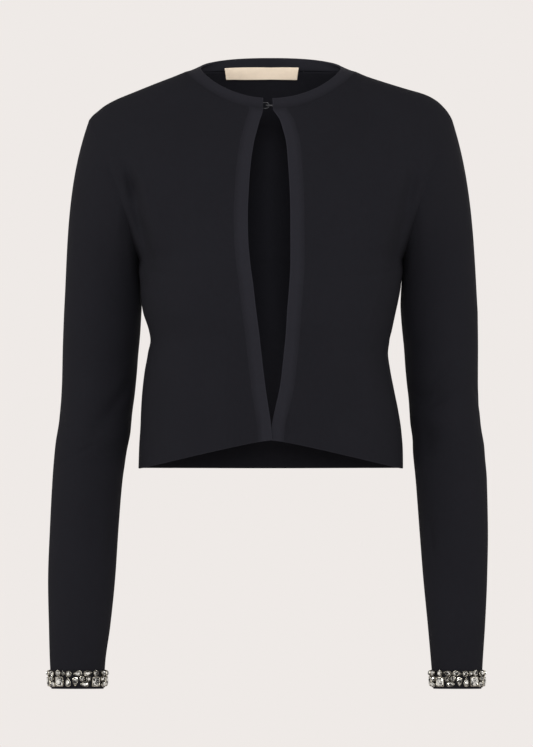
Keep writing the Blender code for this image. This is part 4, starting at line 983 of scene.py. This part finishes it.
def knit_finish(name, colour, purl, painted_band_light=0.0):
    """Fine knit. Face side: each stitch is a V, so rows rise along a zigzag across each wale,
    with a furrow between wales. Purl side: level bumps, half a stitch apart in turn. Seams sink
    in and free edges stand up in the bump. Along both, a painted highlight makes the colour
    lighter, and the bands are painted lighter away from their seams, a painted shade by each seam."""
    sizes = bpy.context.scene.cardigan_sizes
    finish = Finish(name, colour, 0.9, **{"Specular IOR Level": 0.05})
    across, along = finish.cloth()
    sewn, free = finish.cloth("edges")
    x, y = across / (sizes.wale / MM), along / (sizes.course / MM)
    if purl:
        height = ((y + (x * (2 * pi)).sin() * PURL_WAVE) * (2 * pi)).sin() * 0.5 + 0.5
    else:
        furrow = (x * pi).sin().math("ABSOLUTE")
        height = furrow * FURROW + ((y + x.wave() * 0.5) * (2 * pi)).sin() * STITCH
    seam = sewn.near(SEAM_WIDTH)
    finish.bump(height - seam * SEAM_SINK + free.near(HEM_WIDTH) * HEM_RISE, KNIT_RELIEF)
    mottle = finish.noise(0.004, 3.0) * 0.15 + finish.noise(0.05) * 0.1 + 0.125
    # The colour: random mottle plus painted light, that is painted highlights along seams and free
    # edges and, on the bands, painted light away from their seams.
    light = mottle + seam * SEAM_PAINTED_HIGHLIGHT + free.near(HEM_PAINTED_HIGHLIGHT_WIDTH) * HEM_PAINTED_HIGHLIGHT + (
        sewn / BAND_PAINTED_LIGHT_WIDTH).math("MINIMUM", 1) * painted_band_light
    between(finish, colour, light, 0.7, 2.0)
    return finish.material


def label_finish(colour):
    """Satin weave: fine threads along the label, crossed by finer ones, and a little mottled."""
    finish = Finish("satin", colour, 0.55, **{"Specular IOR Level": 0.3})
    across, along = finish.cloth()
    threads = ((along * (2 * pi / SATIN_THREAD)).sin() * 0.35
               + (across * (2 * pi / SATIN_CROSS_THREAD)).sin() * 0.15 + 0.5)
    finish.bump(threads, SATIN_RELIEF)
    between(finish, colour, threads * 0.25 + finish.noise(0.006) * 0.5, 0.88, 1.16)
    return finish.material


def stone_finish(colour):
    """Foiled crystal. Each facet is painted a tone of its own, a painted reflection broken into
    small cells that stand for the cuts behind it, so that some are painted bright and some dark."""
    finish = Finish("stone", colour, 0.08, **{"Metallic": 0.75, "Coat Weight": 0.6,
                                             "Coat Roughness": 0.03})
    place = finish.node("ShaderNodeTexCoord")[3]
    cell = finish.node("ShaderNodeTexVoronoi", None, {"Vector": place, "Scale": 1 / STONE_CELL})[1]
    shade = finish.node("ShaderNodeSeparateColor", None, {0: cell})[0]
    # Painted reflection: each facet's painted tone, broken by the cells, picks a colour between
    # painted dark and the stone's colour.
    facet = finish.node("ShaderNodeAttribute", {"attribute_name": "glint"})[2]
    dark = tuple(STONE_PAINTED_DARK * part for part in colour)
    finish.feed("Base Color", finish.node("ShaderNodeValToRGB", {
        "stops": ((0.42, (*dark, 1)), (0.66, (*colour, 1)))}, {0: facet * 0.7 + shade * 0.3})[0])
    return finish.material


def finishes():
    """The materials, made once. None has the name of one of the model's own."""
    if FINISHES[0] in bpy.data.materials:
        return {name: bpy.data.materials[name] for name in FINISHES}
    colours = bpy.context.scene.cardigan_colours
    inside = tuple(INSIDE_TONE * part for part in colours.knit)
    made = (
        knit_finish("knit_face", tuple(colours.knit), purl=False),
        knit_finish("knit_purl", inside, purl=True),
        knit_finish("band_knit", tuple(colours.band), purl=False, painted_band_light=BAND_PAINTED_LIGHT),
        stone_finish(tuple(colours.stone)),
        Finish("setting", SETTING, 0.25, Metallic=1.0).material,
        Finish("tape", TAPE, 0.85, **{"Specular IOR Level": 0.1}).material,
        label_finish(tuple(colours.label)),
        Finish("steel", tuple(colours.wire), 0.4, Metallic=1.0).material,
        Finish("thread", PALE_THREAD, 0.6).material,
        Finish("dark_thread", DARK_THREAD, 0.7).material,
    )
    return dict(zip(FINISHES, made))


# ---------------------------------------------------------------- pieces and stage

def sew(kind, hand, skin, thickness, materials, node=None):
    """Make a cloth piece that stands for its node, and hide the node's part. The areas of its
    faces are measured and not used."""
    slot, (width, length), held, outside, free = CLOTH[kind]
    name = kind + ("_" + SIDE_NAMES[hand] if hand else "")
    closed = outside is None
    if not closed:
        outside = np.array(outside) * (hand or 1, 1, 1)
    piece = shell(name, skin, outside, thickness, materials, free, closed)
    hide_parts(node or name)
    area = np.zeros(len(piece.data.polygons))
    piece.data.polygons.foreach_get("area", area)


class CARDIGAN_OT_body(Operator):
    """Knit the back and the two fronts"""
    bl_idname = "cardigan.body"
    bl_label = "Back and fronts"

    def execute(self, context):
        knit = [finishes()["knit_face"], finishes()["knit_purl"]]
        cloth = context.scene.cardigan_sizes.cloth / MM
        up = np.union1d(steps(cloth, *TORSO_UP), [LOW_PART])
        neck_ends = 0.5 + np.array([-0.5, 0.5]) * BACK_NECK_PART
        across = np.union1d(steps(cloth, *BACK_ACROSS), neck_ends)
        sew("back", None, back_skin(across, up), cloth, knit)
        across = np.union1d(steps(cloth, *FRONT_ACROSS), [NECK_PART])
        for hand in SIDE_NAMES:
            sew("front", hand, front_skin(hand, across, up), cloth, knit)
        return {"FINISHED"}


class CARDIGAN_OT_sleeves(Operator):
    """Knit the two sleeves"""
    bl_idname = "cardigan.sleeves"
    bl_label = "Sleeves"

    def execute(self, context):
        knit = [finishes()["knit_face"], finishes()["knit_purl"]]
        cloth = context.scene.cardigan_sizes.cloth / MM
        around = np.arange(SLEEVE_AROUND) / (SLEEVE_AROUND / 2)
        cap_share = steps(cloth, *SLEEVE_CAP)
        heights = BICEPS + (CUFF - BICEPS) * steps(cloth, *SLEEVE_DOWN)
        for hand in SIDE_NAMES:
            sew("sleeve", hand, sleeve_skin(hand, around, cap_share, heights), cloth, knit)
        return {"FINISHED"}


class CARDIGAN_OT_bands(Operator):
    """Knit the front bands and the neck band"""
    bl_idname = "cardigan.bands"
    bl_label = "Bands"

    def execute(self, context):
        knit = [finishes()["band_knit"]] * 2
        cloth = context.scene.cardigan_sizes.band_cloth / MM
        up = np.union1d(steps(cloth, *BAND_UP), [LOW_PART])
        across = steps(cloth, *BAND_ACROSS)
        for hand in SIDE_NAMES:
            sew("front_band", hand, front_band_skin(hand, across, up), cloth, knit)
        round_neck = np.union1d(4 * steps(cloth, *NECK_ROUND) - 2, [-1, 0, 1])
        sew("neck_band", None, neck_band_skin(round_neck, steps(cloth, *NECK_UP)), cloth, knit)
        return {"FINISHED"}


class CARDIGAN_OT_cuffs(Operator):
    """Sew a tape with set stones round each cuff"""
    bl_idname = "cardigan.cuffs"
    bl_label = "Cuff stones"

    def execute(self, context):
        made = finishes()
        around = np.arange(TAPE_COLUMNS) / TAPE_COLUMNS
        up = steps(STRIP_CLOTH, *TAPE_UP) * STRIP_HEIGHT
        out = np.full((len(up), TAPE_COLUMNS), SEAM_GAP + STRIP_CLOTH)
        for hand, side in SIDE_NAMES.items():
            sew("cuff_tape", hand, cuff_point(hand, around[None], up[:, None], out), STRIP_CLOTH,
                [made["tape"]] * 2, node="cuff_stones_" + side)
            cups = cuff_stones(hand, CUP_RINGS, CUP_CORNERS)
            index = np.arange(cups.size // 3).reshape(cups.shape[:3])
            walls = np.concatenate([quads(one, closed=True) for one in index])[:, ::hand]
            gems = cuff_stones(hand, CRYSTAL_RINGS, CRYSTAL_CORNERS)
            facets, glint = crystal_mesh(gems, hand)
            for name, points, faces, finish in (
                    ("settings", cups, walls, "setting"), ("crystals", gems, facets, "stone"),
                    ("claws", *claw_mesh(hand), "setting")):
                piece = put("cuff_" + name + "_" + side, points.reshape(-1, 3), faces,
                            [made[finish]], soft=False)
                if finish == "stone":
                    # Each facet's painted reflection tone, kept as a face attribute.
                    shades = piece.data.attributes.new("glint", "FLOAT", "FACE")
                    shades.data.foreach_set("value", glint)
        return {"FINISHED"}


class CARDIGAN_OT_label(Operator):
    """Sew the blank label inside the back of the neck"""
    bl_idname = "cardigan.label"
    bl_label = "Label"

    def execute(self, context):
        across, up = steps(LABEL_CLOTH, *LABEL_ACROSS), steps(LABEL_CLOTH, *LABEL_UP)
        face = label_skin(across, up)
        sew("label", None, face, LABEL_CLOTH, [finishes()["satin"]] * 2)
        stitches = []
        for end in LABEL_STITCH_ENDS:
            for place in LABEL_STITCH_ROWS:
                middle = face[np.argmin(np.abs(up - place)), np.argmin(np.abs(across - end))]
                stitches.append(middle + LABEL_STITCH * (1 if end > 0.5 else -1, 1, 1))
        threads = wires("label_stitches", stitches, LABEL_THREAD, finishes()["thread"])
        return {"FINISHED"}


class CARDIGAN_OT_fastener(Operator):
    """Bend the hook and the eye, and sew them behind the neck band's ends"""
    bl_idname = "cardigan.fastener"
    bl_label = "Hook and eye"

    def execute(self, context):
        edge = torso(opening(np.array(FASTENER_HEIGHT), WEARER_LEFT), FASTENER_HEIGHT, FRONT)
        place = np.array([0, edge[1] + BAND_CLOTH + FASTENER_CLEAR, FASTENER_HEIGHT])
        for name, path, gauge in (("eye", eye_path(), EYE_WIRE), ("hook", hook_path(), HOOK_WIRE)):
            piece = wires(name, [path + place], gauge, finishes()["steel"])
            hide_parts(name)
        turns = 2 * pi * np.linspace(0, TACK_TURNS, 16 * TACK_TURNS + 1)
        along = TACK_PITCH * (turns / (2 * pi) - TACK_TURNS / 2)
        coil = np.stack([along, TACK_DEPTH * np.cos(turns), TACK_HEIGHT * np.sin(turns)], axis=-1)
        tacks = [place + coil + middle for middle in TACKS]
        threads = wires("fastener_threads", tacks, FASTENER_THREAD, finishes()["dark_thread"])
        return {"FINISHED"}


class CARDIGAN_OT_stage(Operator):
    """Set the floor and backdrop, the lights and the camera"""
    bl_idname = "cardigan.stage"
    bl_label = "Stage"

    def execute(self, context):
        turns = np.linspace(0, 2 * pi, FLOOR_CORNERS, endpoint=False)
        disc = np.stack([FLOOR_RADIUS * np.cos(turns), FLOOR_RADIUS * np.sin(turns),
                         np.full(FLOOR_CORNERS, FLOOR_HEIGHT)], axis=-1)
        mesh = bpy.data.meshes.new("floor")
        mesh.from_pydata(disc.tolist(), [], [list(range(FLOOR_CORNERS))])
        matt = Finish("floor", FLOOR_COLOUR, 0.95, **{"Specular IOR Level": 0.0})
        mesh.materials.append(matt.material)
        floor = bpy.data.objects.new("floor", mesh)
        context.collection.objects.link(floor)
        for name, place, size, power in LIGHTS:
            light = bpy.data.lights.new(name, "AREA")
            light.shape, light.size, light.energy = "SQUARE", size, power
            lamp = bpy.data.objects.new(name, light)
            context.collection.objects.link(lamp)
            lamp.location = place
            aim = Vector(LIGHT_AIM) - lamp.location
            lamp.rotation_euler = aim.to_track_quat("-Z", "Y").to_euler()
        world = bpy.data.worlds.new("studio")
        world.use_nodes = True
        world.node_tree.nodes["Background"].inputs["Color"].default_value = (*PALE, 1)
        context.scene.world = world
        camera = bpy.data.cameras.new("camera")
        camera.sensor_fit, camera.sensor_height = "VERTICAL", SENSOR_HEIGHT
        camera.lens = SENSOR_HEIGHT * CAMERA_DISTANCE / FRAME_HEIGHT
        eye = bpy.data.objects.new("camera", camera)
        context.collection.objects.link(eye)
        eye.location = (CAMERA_ACROSS, -CAMERA_DISTANCE, CAMERA_HEIGHT)
        eye.rotation_euler = (pi / 2, 0, 0)
        context.scene.camera = eye
        context.scene.view_settings.view_transform = "Standard"
        return {"FINISHED"}


class CARDIGAN_PT_panel(Panel):
    """The cardigan's pieces, in the order they are made"""
    bl_label = "Cardigan"
    bl_idname = "CARDIGAN_PT_panel"
    bl_space_type = "VIEW_3D"
    bl_region_type = "UI"
    bl_category = "Cardigan"

    def draw(self, context):
        for group in (context.scene.cardigan_sizes, context.scene.cardigan_colours):
            for name in group.__annotations__:
                self.layout.prop(group, name)
        for step in STEPS:
            self.layout.operator(step.bl_idname)


STEPS = (CARDIGAN_OT_body, CARDIGAN_OT_sleeves, CARDIGAN_OT_bands, CARDIGAN_OT_cuffs,
         CARDIGAN_OT_label, CARDIGAN_OT_fastener, CARDIGAN_OT_stage)
CLASSES = (CardiganSizes, CardiganColours, *STEPS, CARDIGAN_PT_panel)


def register():
    for made in CLASSES:
        bpy.utils.register_class(made)
    bpy.types.Scene.cardigan_sizes = PointerProperty(type=CardiganSizes)
    bpy.types.Scene.cardigan_colours = PointerProperty(type=CardiganColours)


def unregister():
    del bpy.types.Scene.cardigan_sizes, bpy.types.Scene.cardigan_colours
    for made in reversed(CLASSES):
        bpy.utils.unregister_class(made)


def main():
    register()
    for step in STEPS:
        group, name = step.bl_idname.split(".")
        getattr(getattr(bpy.ops, group), name)()


if __name__ == "__main__":
    main()
